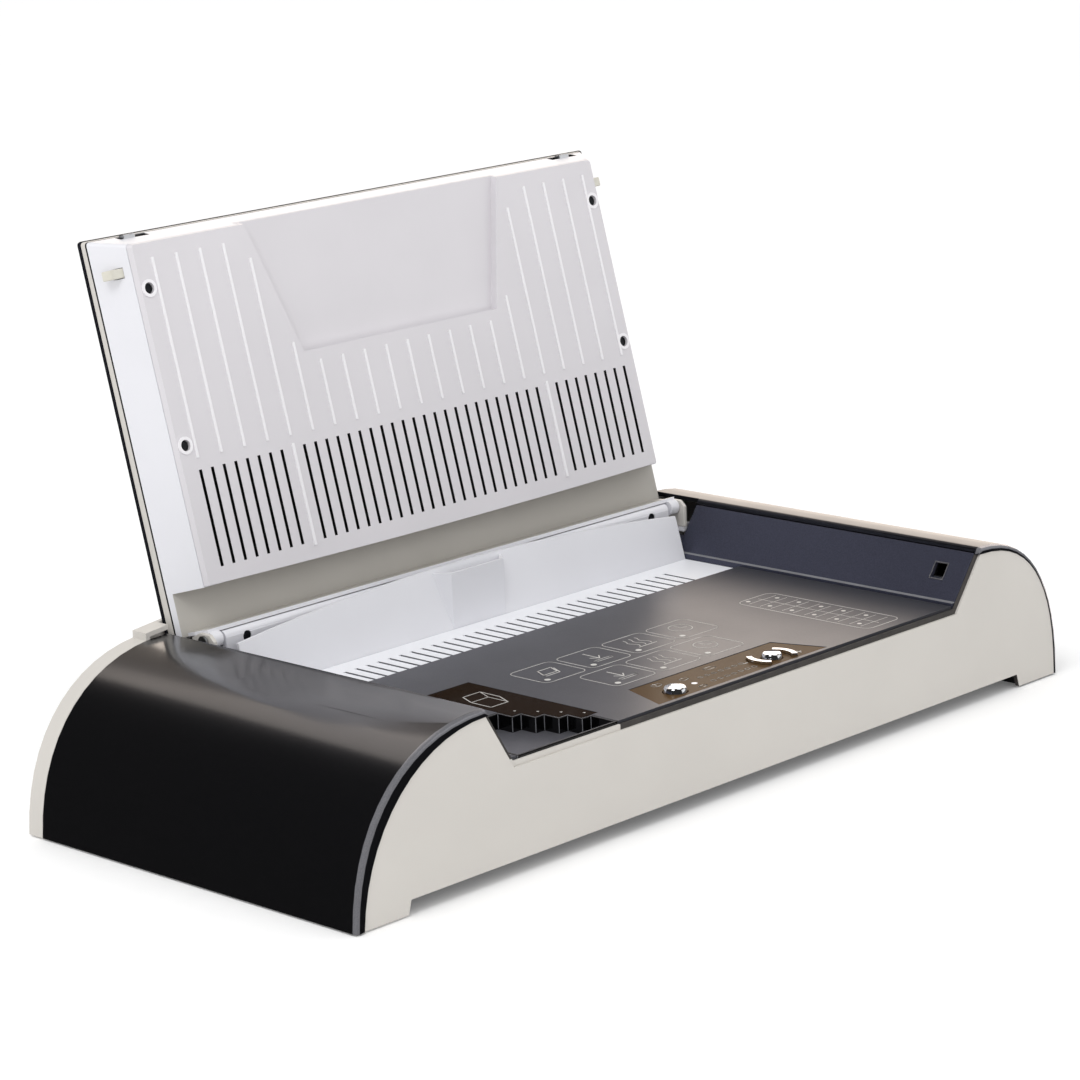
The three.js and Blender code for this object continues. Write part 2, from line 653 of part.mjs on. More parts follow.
function deckPanel() {
  const plate = box(deckEdge(leftLobe), deckEdge(rightLobe), deck.front, deckBack, deckUnder, deck.top);
  const tray = alongZ(gaugeOutline(gauge.wall + gap), deckUnder - overrun, deck.top + overrun);
  const inlay = alongZ(windowOutline(-gap), deck.top - gauge.windowThickness - gap, deck.top + overrun);
  const lens = alongZ(controlOutline(gap), deckUnder - overrun, deck.top + overrun);
  return plate.subtract(tray).subtract(inlay).subtract(lens);
}

function gaugeTray() {
  const outer = alongZ(gaugeOutline(gauge.wall), gauge.floor - gauge.wall, deck.top);
  return outer.subtract(alongZ(gaugeOutline(0), gauge.floor, deck.top + overrun));
}

// Round and curved buttons, their outlines grown by a clearance
function disc(place, radius) {
  return Array.from({ length: discSteps }, (_, i) => {
    const angle = (Math.PI * 2 * i) / discSteps;
    return [place.x + radius * Math.cos(angle), place.y + radius * Math.sin(angle)];
  });
}

function arcOutline(side, grow) {
  const half = THREE.MathUtils.degToRad(arc.halfAngle) + grow / arc.inner;
  const middle = side < 0 ? Math.PI : 0;
  const sweep = (radius, from, to) => Array.from({ length: arcSteps + 1 }, (_, i) => {
    const angle = middle + THREE.MathUtils.lerp(from, to, i / arcSteps);
    return [select.x + radius * Math.cos(angle), select.y + radius * Math.sin(angle)];
  });
  return [...sweep(arc.outer + grow, -half, half), ...sweep(arc.inner - grow, half, -half)];
}

function buttonHoles() {
  return [
    disc(power, power.radius + gap), disc(select, select.radius + gap),
    arcOutline(-1, gap), arcOutline(1, gap),
  ].map((outline) => alongZ(outline, 0, deck.top + overrun));
}

function buttonBottom() {
  return board.top + board.switchHeight + button.travel + gap;
}

// Round button on its stem, with a rounded edge and a slight crown
function roundButton(place) {
  const top = lensTop + place.height;
  const skirt = lensTop - button.skirt;
  const shoulder = top - button.crown - button.edge;
  const rounding = Array.from({ length: crownSteps + 1 }, (_, i) => {
    const angle = (Math.PI / 2) * (i / crownSteps);
    return [
      place.radius - button.edge * (1 - Math.cos(angle)), shoulder + button.edge * Math.sin(angle),
    ];
  });
  const profile = [
    [0, buttonBottom()], [place.stem, buttonBottom()], [place.stem, skirt], [place.radius, skirt],
    ...rounding, [0, top],
  ];
  const points = profile.map(([r, z]) => new THREE.Vector2(r, z));
  const geometry = new THREE.LatheGeometry(points, discSteps).rotateX(Math.PI / 2);
  return solid(geometry.translate(place.x, place.y, 0));
}

function arcButton(side) {
  const cap = alongZ(arcOutline(side, 0), lensTop - button.skirt, lensTop + arc.height);
  const middle = select.x + (side * (arc.inner + arc.outer)) / 2;
  return cap.add(rodZ(middle, select.y, arc.stem, buttonBottom(), lensTop));
}

function controlLens() {
  const plate = alongZ(controlOutline(0), lensUnder, lensTop);
  return buttonHoles().reduce((whole, hole) => whole.subtract(hole), plate);
}

// Plate under the deck that carries the lens and guides the buttons
function buttonCarrier() {
  const top = deckUnder - gap;
  const plate = alongZ(controlOutline(control.carrierRim), top - control.carrierThickness, top);
  const pad = alongZ(controlOutline(-gap), top - control.carrierThickness, lensUnder - gap);
  const bar = alongZ(lightBar(gap), top - control.carrierThickness - overrun, lensTop);
  return buttonHoles().reduce((whole, hole) => whole.subtract(hole), plate.add(pad).subtract(bar));
}

function lightBar(grow) {
  const last = lights.first + (lights.columns - 1) * lights.pitch;
  const far = lights.rowFirst + (lights.rows - 1) * lights.rowPitch;
  const rim = lights.bar + grow;
  return [
    [lights.first - rim, lights.rowFirst - rim], [last + rim, lights.rowFirst - rim],
    [last + rim, far + rim], [lights.first - rim, far + rim],
  ];
}

function lightGuide() {
  const top = deckUnder - lights.sink;
  const pips = [];
  for (let row = 0; row < lights.rows; row += 1) {
    for (let column = 0; column < lights.columns; column += 1) {
      const x = lights.first + column * lights.pitch;
      pips.push(rodZ(x, lights.rowFirst + row * lights.rowPitch, lights.radius, top - gap, lensUnder - gap));
    }
  }
  return union([alongZ(lightBar(0), board.top + gap, top), ...pips]);
}

// Circuit board under the buttons, with one switch for each
function controlBoard() {
  const plate = alongZ(controlOutline(-gap), boardBottom, board.top);
  const middle = (arc.inner + arc.outer) / 2;
  const places = [
    [power.x, power.y], [select.x, select.y], [select.x - middle, select.y], [select.x + middle, select.y],
  ];
  const half = board.switchSide / 2;
  const switches = places.map(([x, y]) => box(x - half, x + half, y - half, y + half, boardBottom + gap,
    board.top + board.switchHeight));
  return union([plate, ...switches]);
}

// Slotted strip over the heater, with a skirt front and back
function combStrip() {
  const left = deckEdge(leftLobe);
  const right = deckEdge(rightLobe);
  const back = stripBack - gap;
  const plate = box(left, right, stripFront, back, stripUnder, strip.top);
  const ends = [left + carrier.endRoom, right - carrier.endRoom];
  const frontSkirt = box(...ends, stripFront, stripFront + strip.skirt, carrierTop + gap, strip.top);
  const backSkirt = box(...ends, back - strip.skirt, back, carrierTop + gap, strip.top);
  const slotFront = stripFront + strip.slotInset;
  let body = union([plate, frontSkirt, backSkirt]);
  for (let i = 0; i < strip.slots; i += 1) {
    const x = strip.slotFirst + i * strip.slotPitch;
    body = body.subtract(box(x - strip.slotWidth / 2, x + strip.slotWidth / 2, slotFront,
      slotFront + strip.slotLength, stripUnder - overrun, strip.top + overrun));
  }
  return body;
}

function carrierPlate() {
  return box(deckEdge(leftLobe), deckEdge(rightLobe), stripFront - carrier.frontReach,
    stripBack + carrier.backReach, carrier.bottom, carrierTop);
}

// Heater stack under the strip, from the top down: plate, element, insulator
function heaterSpan(side, bottom, top) {
  const last = strip.slotFirst + (strip.slots - 1) * strip.slotPitch;
  return box(strip.slotFirst - heater.overhang, last + heater.overhang, stripFront + side, stripBack - side,
    bottom, top);
}

function heaterLevels() {
  const plateTop = stripUnder - gap;
  const plateBottom = plateTop - heater.plate;
  const elementBottom = plateBottom - gap - heater.element;
  return { plateTop, plateBottom, elementBottom, insulatorTop: elementBottom - gap };
}

// Backrest wall: leans back, arched along its top, with a pocket in the middle
function backrestFace(z) {
  return stripBack + Math.max(0, z - strip.top) * leanSlope;
}

function backrestArch(x) {
  const share = (x - recess.centre) / backrest.half;
  return backrest.peak - backrest.fall * share * share;
}

function pocketOutline(shrink) {
  const { pocketFront, pocketBack } = backrest;
  const front = stripBack + shrink;
  const back = backrestFace(backrest.peak) + overrun;
  return [
    [recess.centre - pocketFront + shrink, front], [recess.centre + pocketFront - shrink, front],
    [recess.centre + pocketBack - shrink, backrestFace(backrest.pocketTop)],
    [recess.centre + pocketBack - shrink, back], [recess.centre - pocketBack + shrink, back],
    [recess.centre - pocketBack + shrink, backrestFace(backrest.pocketTop)],
  ];
}

function backrestWall() {
  const left = recess.centre - backrest.half;
  const right = recess.centre + backrest.half;
  const bottom = carrierTop + gap;
  const high = backrest.peak + overrun;
  const back = stripBack + backrest.thickness;
  const section = [
    [stripBack, bottom], [stripBack, strip.top], [backrestFace(high), high],
    [backrestFace(high) + backrest.thickness, high], [back, strip.top], [back, bottom],
  ];
  const archPoints = Array.from({ length: archSteps + 1 }, (_, i) => {
    const x = THREE.MathUtils.lerp(right, left, i / archSteps);
    return [x, backrestArch(x)];
  });
  const underArch = alongY([[left, 0], [right, 0], ...archPoints], 0, housing.depth);
  const plate = alongX(section, left, right).intersect(underArch);
  const front = [
    [0, 0], [stripBack + gap, 0], [stripBack + gap, strip.top], [backrestFace(high) + gap, high], [0, high],
  ];
  const frontHalf = alongX(front, left, right);
  const shell = alongZ(pocketOutline(0), strip.top + gap, backrest.pocketTop).intersect(frontHalf);
  const wallFront = [[0, 0], [stripBack, 0], [stripBack, strip.top], [backrestFace(high), high], [0, high]];
  const inFront = alongX(wallFront, left, right);
  const hollow = alongZ(pocketOutline(backrest.pocketWall), strip.top + backrest.pocketWall,
    backrest.pocketTop + overrun).intersect(inFront);
  return plate.add(shell.subtract(hollow));
}

function documentSensor() {
  const front = stripBack + backrest.pocketWall + gap;
  const half = backrest.sensorHalf;
  return box(recess.centre - half, recess.centre + half, front, front + backrest.sensorThickness,
    backrest.sensorBottom, backrest.sensorTop);
}

// Hinge rail: bulkhead, bead round the hinge line, and the shelf behind it
function hingeRail() {
  const back = hingeY - gap;
  const left = recess.centre - railHalf;
  const right = recess.centre + railHalf;
  const wall = box(left, right, back - rail.wall, back, rail.shelf, hinge.z);
  const underPart = box(left + rail.footInset, right - rail.footInset, back - rail.wall, back, panFloor + gap,
    rail.shelf + rail.shelfThickness);
  const bead = rodX(hingeY, hinge.z, rail.bead, left, right);
  const shelfHalf = notchHalf - gap;
  const shelf = box(recess.centre - shelfHalf, recess.centre + shelfHalf, back - rail.wall / 2,
    rearInside - gap, rail.shelf, rail.shelf + rail.shelfThickness);
  const tabs = [-1, 1].map((side) => box(...sideSpan(side, barrel.outer, bracketOuter + gap),
    hingeY - bracket.frontReach, back, rail.shelf, rail.shelf + rail.shelfThickness));
  const holes = [-1, 1].map((side) => {
    const x = recess.centre + side * (railHalf - rail.screwInset);
    const z = hinge.z - rail.screwDrop;
    const seat = back - rail.wall + rail.headHeight + rail.headRoom;
    const head = rodY(x, z, rail.headRadius + gap, back - rail.wall - overrun, seat);
    return head.add(rodY(x, z, rail.shankRadius + gap, seat - gap, back + overrun));
  });
  return holes.reduce((whole, hole) => whole.subtract(hole), union([wall, underPart, bead, shelf, ...tabs]));
}

function railScrew(side) {
  const x = recess.centre + side * (railHalf - rail.screwInset);
  const z = hinge.z - rail.screwDrop;
  const front = hingeY - rail.wall;
  return rodY(x, z, rail.headRadius, front, front + rail.headHeight).add(
    rodY(x, z, rail.shankRadius, front + rail.headHeight / 2, front + rail.shankLength));
}

function sideSpan(side, inner, outer) {
  return [recess.centre + side * inner, recess.centre + side * outer].sort((a, b) => a - b);
}

function hingeBracket(side) {
  const bottom = rail.shelf + rail.shelfThickness + gap;
  const outline = [
    [hingeY - bracket.frontReach, bottom], [hingeY + bracket.backReach, bottom],
    [hingeY + bracket.backReach, bracket.shoulder], [hingeY + bracket.topBackReach, bracket.top],
    [hingeY - bracket.topFrontReach, bracket.top], [hingeY - bracket.frontReach, bracket.shoulder],
  ];
  const bore = sideSpan(side, bracketInner - overrun, bracketOuter + overrun);
  const plate = alongX(outline, ...sideSpan(side, bracketInner, bracketOuter));
  return plate.subtract(rodX(hingeY, hinge.z, hinge.pin + gap, ...bore));
}

function hingePin(side) {
  const outer = bracketOuter + gap;
  const shankSpan = sideSpan(side, barrel.inner + hinge.pinRoom, outer + gap);
  const headSpan = sideSpan(side, outer, outer + hinge.pinHeadLength);
  const shank = rodX(hingeY, hinge.z, hinge.pin, ...shankSpan);
  return shank.add(rodX(hingeY, hinge.z, hinge.pinHead, ...headSpan));
}

// Lid pieces, in the lid's own frame: x across, y outwards, z along the lid from the hinge
function lidShare(n) {
  return (n - lid.face) / (lid.outer - lid.face);
}

function lidHalf(n) {
  return THREE.MathUtils.lerp(lid.innerHalf, lidOuterHalf, lidShare(n));
}

function lidEnd(n) {
  return THREE.MathUtils.lerp(lidInnerEnd, lidOuterEnd, lidShare(n));
}

// Outline of the lid at a depth, drawn in by an inset, with rounded corners at the free end
function lidOutline(n, start, inset) {
  const half = lidHalf(n) - inset;
  const end = lidEnd(n) - inset;
  const radius = Math.max(lid.corner - inset, lid.innerCorner);
  const corner = (side, from, to) => Array.from({ length: crownSteps + 1 }, (_, i) => {
    const angle = THREE.MathUtils.lerp(from, to, i / crownSteps);
    const x = recess.centre + side * (half - radius) + radius * Math.cos(angle);
    return [x, end - radius + radius * Math.sin(angle)];
  });
  return [
    [recess.centre - half, start], [recess.centre + half, start], ...corner(1, 0, Math.PI / 2),
    ...corner(-1, Math.PI / 2, Math.PI),
  ];
}

function lidRing(n, start, inset, depthAt) {
  return lidOutline(n, start, inset).map(([x, s]) => new THREE.Vector3(x, depthAt ? depthAt(s) : n, s));
}

function lidLoft(n0, n1, start, inset) {
  return loft([lidRing(n0, start, inset), lidRing(n1, start, inset)], fanCap);
}

// Slanted slab between two flat or tilted faces
function lidSlab(nearDepth, farDepth) {
  const near = lidRing(nearDepth(0), lid.lipFoot, 0, nearDepth);
  const far = lidRing(farDepth(lidOuterEnd), lid.lipFoot, 0, farDepth);
  return loft([near, far], fanCap);
}

function tubOutline(grow) {
  const { tubTopHalf, tubFootHalf, tubLength } = panel;
  const tubStart = lidInnerEnd - tubLength;
  const slope = (tubTopHalf - tubFootHalf) / tubLength;
  const farTubHalf = tubTopHalf + grow + slope * overrun;
  const nearTubHalf = tubFootHalf + grow;
  return [
    [recess.centre - nearTubHalf, tubStart - grow], [recess.centre + nearTubHalf, tubStart - grow],
    [recess.centre + farTubHalf, lidInnerEnd + overrun], [recess.centre - farTubHalf, lidInnerEnd + overrun],
  ];
}

// Prism of an (x, s) outline through the lid's depth
function through(points, n0, n1) {
  return alongY(points, n0, n1);
}

function lidFrame() {
  const { wall, frameFront, frameBack } = lid;
  const body = lidLoft(frameFront, frameBack, lid.lipFoot, 0);
  const farAcross = lidOuterHalf + overrun;
  const across = [recess.centre - farAcross, recess.centre + farAcross];
  const riser = lid.troughEnd + wall;
  const cavity = lidLoft(frameFront - overrun, frameBack + overrun, riser, wall);
  const channel = box(...across, frameFront - overrun, lid.troughFloor, lid.troughStart, lid.troughEnd);
  const floorBack = lid.troughFloor + wall;
  const back = lidLoft(floorBack, frameBack + overrun, lid.troughStart, wall).intersect(
    box(...across, floorBack, frameBack + overrun, lid.troughStart, riser + overrun));
  const tubBack = lid.face + panel.tubDepth + panel.tubWall + gap;
  const tub = through(tubOutline(panel.tubWall + gap), frameFront - overrun, tubBack);
  let frame = body.subtract(cavity).subtract(channel).subtract(back).subtract(tub);
  const lipEnds = [recess.centre - lid.lipHalf, recess.centre + lid.lipHalf];
  frame = frame.subtract(box(...across, frameFront - overrun, lid.troughFloor, 0, lid.troughStart).subtract(
    box(...lipEnds, lid.face - overrun, lid.troughFloor, 0, lid.troughStart)));
  frame = frame.add(box(...lipEnds, lid.face, frameFront + gap, lid.lipFoot, lid.troughStart));
  for (const side of [-1, 1]) {
    frame = frame.add(rodX(0, 0, barrel.radius, ...sideSpan(side, barrel.inner, barrel.outer)));
    const bore = sideSpan(side, barrel.inner + gap, barrel.outer + overrun);
    frame = frame.subtract(rodX(0, 0, hinge.pin + gap, ...bore));
  }
  for (const side of [leftLatch, rightLatch]) frame = frame.subtract(latchWindow(side));
  return frame.subtract(box(...across, latch.n - latch.high / 2 - gap, latch.n + latch.high / 2 + gap,
    latchS - latch.across / 2 - gap, latchS + latch.across / 2 + gap));
}

// Window in the free edge, as long as the thumb pad's travel
function latchWindow(side) {
  return box(side.windowStart, side.windowEnd, latch.padFront - gap, latch.padBack + gap,
    lidOuterEnd - latch.armInset - gap, lidOuterEnd + overrun);
}

function coverDepth(extra) {
  const run = lidOuterEnd - lid.lipFoot;
  return (s) => THREE.MathUtils.lerp(lid.coverStart, lid.coverEnd, (s - lid.lipFoot) / run) + extra;
}

function lidScrewPlaces() {
  const heights = [lidScrew.low, lidInnerEnd - lidScrew.highInset];
  return [-1, 1].flatMap((side) => heights.map((s) => [recess.centre + side * lidScrew.half, s]));
}

function lidCover() {
  let cover = lidSlab(() => coverFront, coverDepth(0));
  for (const [x, s] of lidScrewPlaces()) {
    cover = cover.add(rodY(x, s, lidScrew.boss, panelBack + gap, coverFront + gap));
    cover = cover.subtract(rodY(x, s, lidScrew.shank + gap, 0, lidScrew.length + lidScrew.tipRoom));
  }
  return cover;
}

function lidSkin() {
  return lidSlab(coverDepth(gap), coverDepth(gap + lid.skin));
}

function ribTop(index, count) {
  const fromEnd = Math.min(index, count - 1 - index);
  if (fromEnd < longRibs) return lidInnerEnd - panel.longRibInset;
  if (fromEnd === longRibs) return lidInnerEnd - panel.midRibInset;
  return fromEnd === longRibs + 1 ? lidInnerEnd - panel.shortRibInset : lidInnerEnd - panel.lowRibInset;
}

function raisedRib(x, width, height, s0, s1) {
  return box(x - width / 2, x + width / 2, lid.face - height, lid.face + gap, s0, s1);
}

function innerPanel() {
  const count = (panel.slotCount - 1) / panel.slotsPerRib + 1;
  const half = lidOuterHalf + overrun;
  const bottom = Array.from({ length: archSteps + 1 }, (_, i) => {
    const share = (i / archSteps) * 2 - 1;
    return [recess.centre + share * half, panel.foot - panel.arch * (1 - share * share)];
  });
  const high = lidOuterEnd + overrun;
  const overFoot = through([...bottom, [recess.centre + half, high], [recess.centre - half, high]],
    lid.face - overrun, lid.frameBack);
  let body = lidLoft(lid.face, panelBack, lid.lipFoot, 0).intersect(overFoot);
  const floorBack = lid.face + panel.tubDepth + panel.tubWall;
  const tubEnd = lidLoft(lid.face, floorBack, lid.lipFoot, 0);
  const tub = through(tubOutline(panel.tubWall), lid.face, floorBack).intersect(tubEnd);
  body = body.add(tub).subtract(through(tubOutline(0), lid.face - overrun, lid.face + panel.tubDepth));
  for (let i = 0; i < panel.slotCount; i += 1) {
    const x = panel.slotFirst + i * panel.slotPitch;
    if (dividers.includes(i)) {
      body = body.add(raisedRib(x, panel.ribWidth, panel.ribHeight, panel.slotStart - panel.ribOver,
        panel.slotEnd + panel.ribOver));
    } else {
      body = body.subtract(box(x - panel.slotWidth / 2, x + panel.slotWidth / 2, lid.face - overrun,
        panelBack + overrun, panel.slotStart, panel.slotEnd));
    }
  }
  for (let i = 0; i < count; i += 1) {
    const x = panel.slotFirst + i * panel.slotPitch * panel.slotsPerRib;
    const top = ribTop(i, count);
    body = body.add(raisedRib(x, panel.fineRibWidth, panel.fineRibHeight, panel.fineRibFoot, top));
  }
  for (const [x, s] of lidScrewPlaces()) {
    body = body.add(rodY(x, s, lidScrew.ring, lid.face - lidScrew.ringHeight, lid.face + gap));
    body = body.subtract(rodY(x, s, lidScrew.hole, lid.face - overrun, panelBack + overrun));
  }
  return body;
}

function lidScrewBody(x, s) {
  const seat = panelBack;
  return rodY(x, s, lidScrew.head, seat - lidScrew.headHeight, seat).add(
    rodY(x, s, lidScrew.shank, seat - gap, lidScrew.length));
}

// Latch bolt, thumb pad and the block that guides the bolt's inner end
function latchBolt({ side, tip }) {
  const inner = tip - side * latch.length;
  const near = latch.n - latch.high / 2;
  const far = latch.n + latch.high / 2;
  const outline = [[inner, near], [tip - side * latch.lead, near], [tip, far], [inner, far]];
  return alongZ(outline, latchS - latch.across / 2, latchS + latch.across / 2);
}

function latchPad({ pad }) {
  const ends = [pad, pad + latch.padWidth];
  const arm = box(...ends, latch.n + latch.high / 2 + gap, latch.armBack, latchS - latch.across / 2,
    lidOuterEnd - latch.armInset);
  const end = lidEnd((latch.padFront + latch.padBack) / 2) + latch.padProud;
  const start = lidOuterEnd - latch.padLength - latch.padProud;
  return arm.add(box(...ends, latch.padFront, latch.padBack, start, end));
}

function latchGuide({ side, tip }) {
  const halfN = latch.high / 2 + gap;
  const halfS = latch.across / 2 + gap;
  const inner = tip - side * (latch.length + latch.guideRun);
  const ends = [inner, inner + side * latch.guideLength].sort((a, b) => a - b);
  const rim = latch.guideRim;
  const block = box(...ends, latch.n - halfN - rim, coverFront - gap, latchS - halfS - rim,
    latchS + halfS + rim);
  return block.subtract(box(ends[0] - overrun, ends[1] + overrun, latch.n - halfN, latch.n + halfN,
    latchS - halfS, latchS + halfS));
}

// Supply board and what stands on it
function supplyTop() {
  return panFloor + supply.height + supply.thickness;
}

function onSupply(x, y, length, width, height) {
  return box(x, x + length, y, y + width, supplyTop() + gap, supplyTop() + gap + height);
}

function powerInlet() {
  const { x, z, width, height } = inlet;
  const flangeBack = housing.depth + gap + inlet.flangeThickness;
  const body = box(x - width / 2, x + width / 2, housing.depth - inlet.depth, housing.depth + inlet.lap,
    z - height / 2, z + height / 2);
  const flange = box(x - width / 2 - inlet.flange, x + width / 2 + inlet.flange, housing.depth + gap,
    flangeBack, z - height / 2 - inlet.flange, z + height / 2 + inlet.flange);
  const cavity = box(x - inlet.cavityWidth / 2, x + inlet.cavityWidth / 2, flangeBack - inlet.cavityDepth,
    flangeBack + overrun, z - inlet.cavityHeight / 2, z + inlet.cavityHeight / 2);
  return body.add(flange).subtract(cavity);
}

const machine = new THREE.Group();
const lidGroup = new THREE.Group();
lidGroup.position.set(0, hingeY, hinge.z);
lidGroup.rotation.x = -THREE.MathUtils.degToRad(hinge.tilt);
machine.add(lidGroup);

function place(group, name, body, look) {
  const mesh = new THREE.Mesh(geometryOf(body), material(...finish[look]));
  mesh.name = name;
  group.add(mesh);
}

// Housing
place(machine, 'bottom_pan', bottomPan(), 'black');
place(machine, 'front_panel', frontPanel(), 'panel');
place(machine, 'rear_panel', rearPanel(), 'panel');
place(machine, 'end_shell_left', endShell(leftLobe), 'graphite');
place(machine, 'end_shell_right', endShell(rightLobe), 'graphite');
place(machine, 'cheek_left', cheek(leftLobe), 'bluegrey');
place(machine, 'cheek_right', cheek(rightLobe), 'bluegrey');
place(machine, 'strike_plate_left', strikePlate(leftLobe), 'steel');
place(machine, 'strike_plate_right', strikePlate(rightLobe), 'steel');
place(machine, 'deck_panel', deckPanel(), 'deck');
feetPlaces().forEach(([x, y], i) => {
  const pad = rodZ(x, y, foot.radius, pan.low - gap - foot.height, pan.low - gap);
  place(machine, `rubber_foot_${i + 1}`, pad, 'rubber');
});

// Gauge and controls
place(machine, 'spine_gauge_tray', gaugeTray(), 'black');
const gaugeWindow = alongZ(windowOutline(0), deck.top - gauge.windowThickness, deck.top);
place(machine, 'gauge_window', gaugeWindow, 'bronze');
place(machine, 'control_lens', controlLens(), 'bronze');
place(machine, 'button_carrier', buttonCarrier(), 'black');
place(machine, 'light_guide', lightGuide(), 'white');
place(machine, 'control_board', controlBoard(), 'green');
place(machine, 'power_button', roundButton(power), 'chrome');
place(machine, 'select_button', roundButton(select), 'chrome');
place(machine, 'less_button', arcButton(-1), 'chrome');
place(machine, 'more_button', arcButton(1), 'chrome');

// Heated channel
const levels = heaterLevels();
place(machine, 'comb_strip', combStrip(), 'white');
place(machine, 'channel_carrier', carrierPlate(), 'steel');
const heaterPlate = heaterSpan(heater.side, levels.plateBottom, levels.plateTop);
const element = heaterSpan(heater.elementSide, levels.elementBottom, levels.plateBottom - gap);
const insulator = heaterSpan(heater.insulatorSide, carrierTop + gap, levels.insulatorTop);
place(machine, 'heater_plate', heaterPlate, 'aluminium');
place(machine, 'heating_element', element, 'mica');
place(machine, 'heater_insulator', insulator, 'mica');
const onCarrier = carrierTop + gap;
place(machine, 'thermostat', rodZ(thermostat.x, stripFront + thermostat.inset, thermostat.radius,
  onCarrier, onCarrier + thermostat.height), 'aluminium');
place(machine, 'thermal_fuse', rodX(stripFront + fuse.inset, onCarrier + fuse.radius, fuse.radius,
  fuse.x, fuse.x + fuse.length), 'steel');
place(machine, 'backrest_wall', backrestWall(), 'white');
place(machine, 'document_sensor', documentSensor(), 'green');

// Hinge
place(machine, 'hinge_rail', hingeRail(), 'white');
for (const [side, name] of [[-1, 'left'], [1, 'right']]) {
  place(machine, `rail_screw_${name}`, railScrew(side), 'steel');
  place(machine, `hinge_bracket_${name}`, hingeBracket(side), 'panel');
  place(machine, `hinge_pin_${name}`, hingePin(side), 'steel');
}

// Supply
place(machine, 'supply_board', box(supply.x, supply.x + supply.length, supplyY, supplyY + supply.width,
  supplyUnder, supplyTop()), 'green');
const partsY = supplyY + supply.partsInset;
const relayX = supply.x + supply.partsInset + supply.transformerLength;
place(machine, 'transformer', onSupply(supply.x + supply.inset, partsY, supply.transformerLength,
  supply.transformerWidth, supply.transformerHeight), 'steel');
place(machine, 'relay', onSupply(relayX, partsY, supply.relayLength, supply.relayWidth, supply.relayHeight),
  'black');
const capacitorX = supply.x + supply.length - supply.partsInset;
const capacitorY = supplyY + supply.width - supply.partsInset;
place(machine, 'capacitor', rodZ(capacitorX, capacitorY, supply.capacitorRadius, supplyTop() + gap,
  supplyTop() + gap + supply.capacitorHeight), 'black');
place(machine, 'power_inlet', powerInlet(), 'black');

// Lid
place(lidGroup, 'lid_frame', lidFrame(), 'white');
place(lidGroup, 'lid_inner_panel', innerPanel(), 'lidpanel');
place(lidGroup, 'lid_cover', lidCover(), 'panel');
place(lidGroup, 'lid_skin', lidSkin(), 'graphite');
lidScrewPlaces().forEach(([x, s], i) => {
  place(lidGroup, `lid_screw_${i + 1}`, lidScrewBody(x, s), 'steel');
});
for (const [side, name] of [[leftLatch, 'left'], [rightLatch, 'right']]) {
  place(lidGroup, `latch_bolt_${name}`, latchBolt(side), 'cream');
  place(lidGroup, `latch_pad_${name}`, latchPad(side), 'chrome');
  place(lidGroup, `latch_guide_${name}`, latchGuide(side), 'black');
}

// The origin lies under the middle of the machine's box, on the surface it stands on
machine.updateMatrixWorld(true);
const extent = new THREE.Box3().setFromObject(machine, true);
const middle = extent.getCenter(new THREE.Vector3());
machine.position.set(-middle.x, -middle.y, -extent.min.z);

export default machine;
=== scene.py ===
"""Looks of a thermal binding machine, lid open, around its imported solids."""
import json
import math

import bmesh
import bpy
from mathutils import Matrix, Vector


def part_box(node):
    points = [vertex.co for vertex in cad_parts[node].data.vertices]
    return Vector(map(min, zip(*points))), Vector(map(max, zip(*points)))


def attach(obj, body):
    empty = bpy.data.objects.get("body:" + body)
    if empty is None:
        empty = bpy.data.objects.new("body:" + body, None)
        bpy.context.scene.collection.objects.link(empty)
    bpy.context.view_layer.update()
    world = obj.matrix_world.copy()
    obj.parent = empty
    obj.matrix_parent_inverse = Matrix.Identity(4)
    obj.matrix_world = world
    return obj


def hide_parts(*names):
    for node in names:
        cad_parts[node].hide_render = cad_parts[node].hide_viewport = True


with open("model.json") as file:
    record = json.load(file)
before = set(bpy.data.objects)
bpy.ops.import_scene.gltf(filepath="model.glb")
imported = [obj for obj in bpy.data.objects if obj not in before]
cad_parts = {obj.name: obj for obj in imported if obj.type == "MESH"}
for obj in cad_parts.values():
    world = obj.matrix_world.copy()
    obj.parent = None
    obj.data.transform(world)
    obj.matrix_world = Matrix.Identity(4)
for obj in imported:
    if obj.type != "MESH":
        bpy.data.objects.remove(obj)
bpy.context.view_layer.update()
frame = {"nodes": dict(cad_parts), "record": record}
MM = 0.001
scene = bpy.context.scene

# The solids' frame has its origin under the middle of the open machine. Places below are in the
# machine's own millimetres: x from its mid-width line, y from its front face, z from its underside.
HALF_WIDTH = 264.9
DECK_TOP = 57
FRONT_LOW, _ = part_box("front_panel")
_, DECK_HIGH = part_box("deck_panel")
SHELL_LOW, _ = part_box("end_shell_left")
SHIFT = Vector((SHELL_LOW.x + HALF_WIDTH * MM, FRONT_LOW.y, DECK_HIGH.z - DECK_TOP * MM))


def sheet_point(x, y, z):
    """Point of the solids' frame, in metres, for a place in the machine's own millimetres."""
    return Vector((x * MM + SHIFT.x, y * MM + SHIFT.y, z * MM + SHIFT.z))


# Camera fitted to the photograph, with angles in degrees

CAMERA_PLACE = (-1305.3, -1166.5, 564.5)
CAMERA_AZIMUTH = -45.10
CAMERA_HEIGHT_ANGLE = 13.80
CAMERA_ROLL = -2.563
FILM_WIDTH = 36
LENS = 120.87

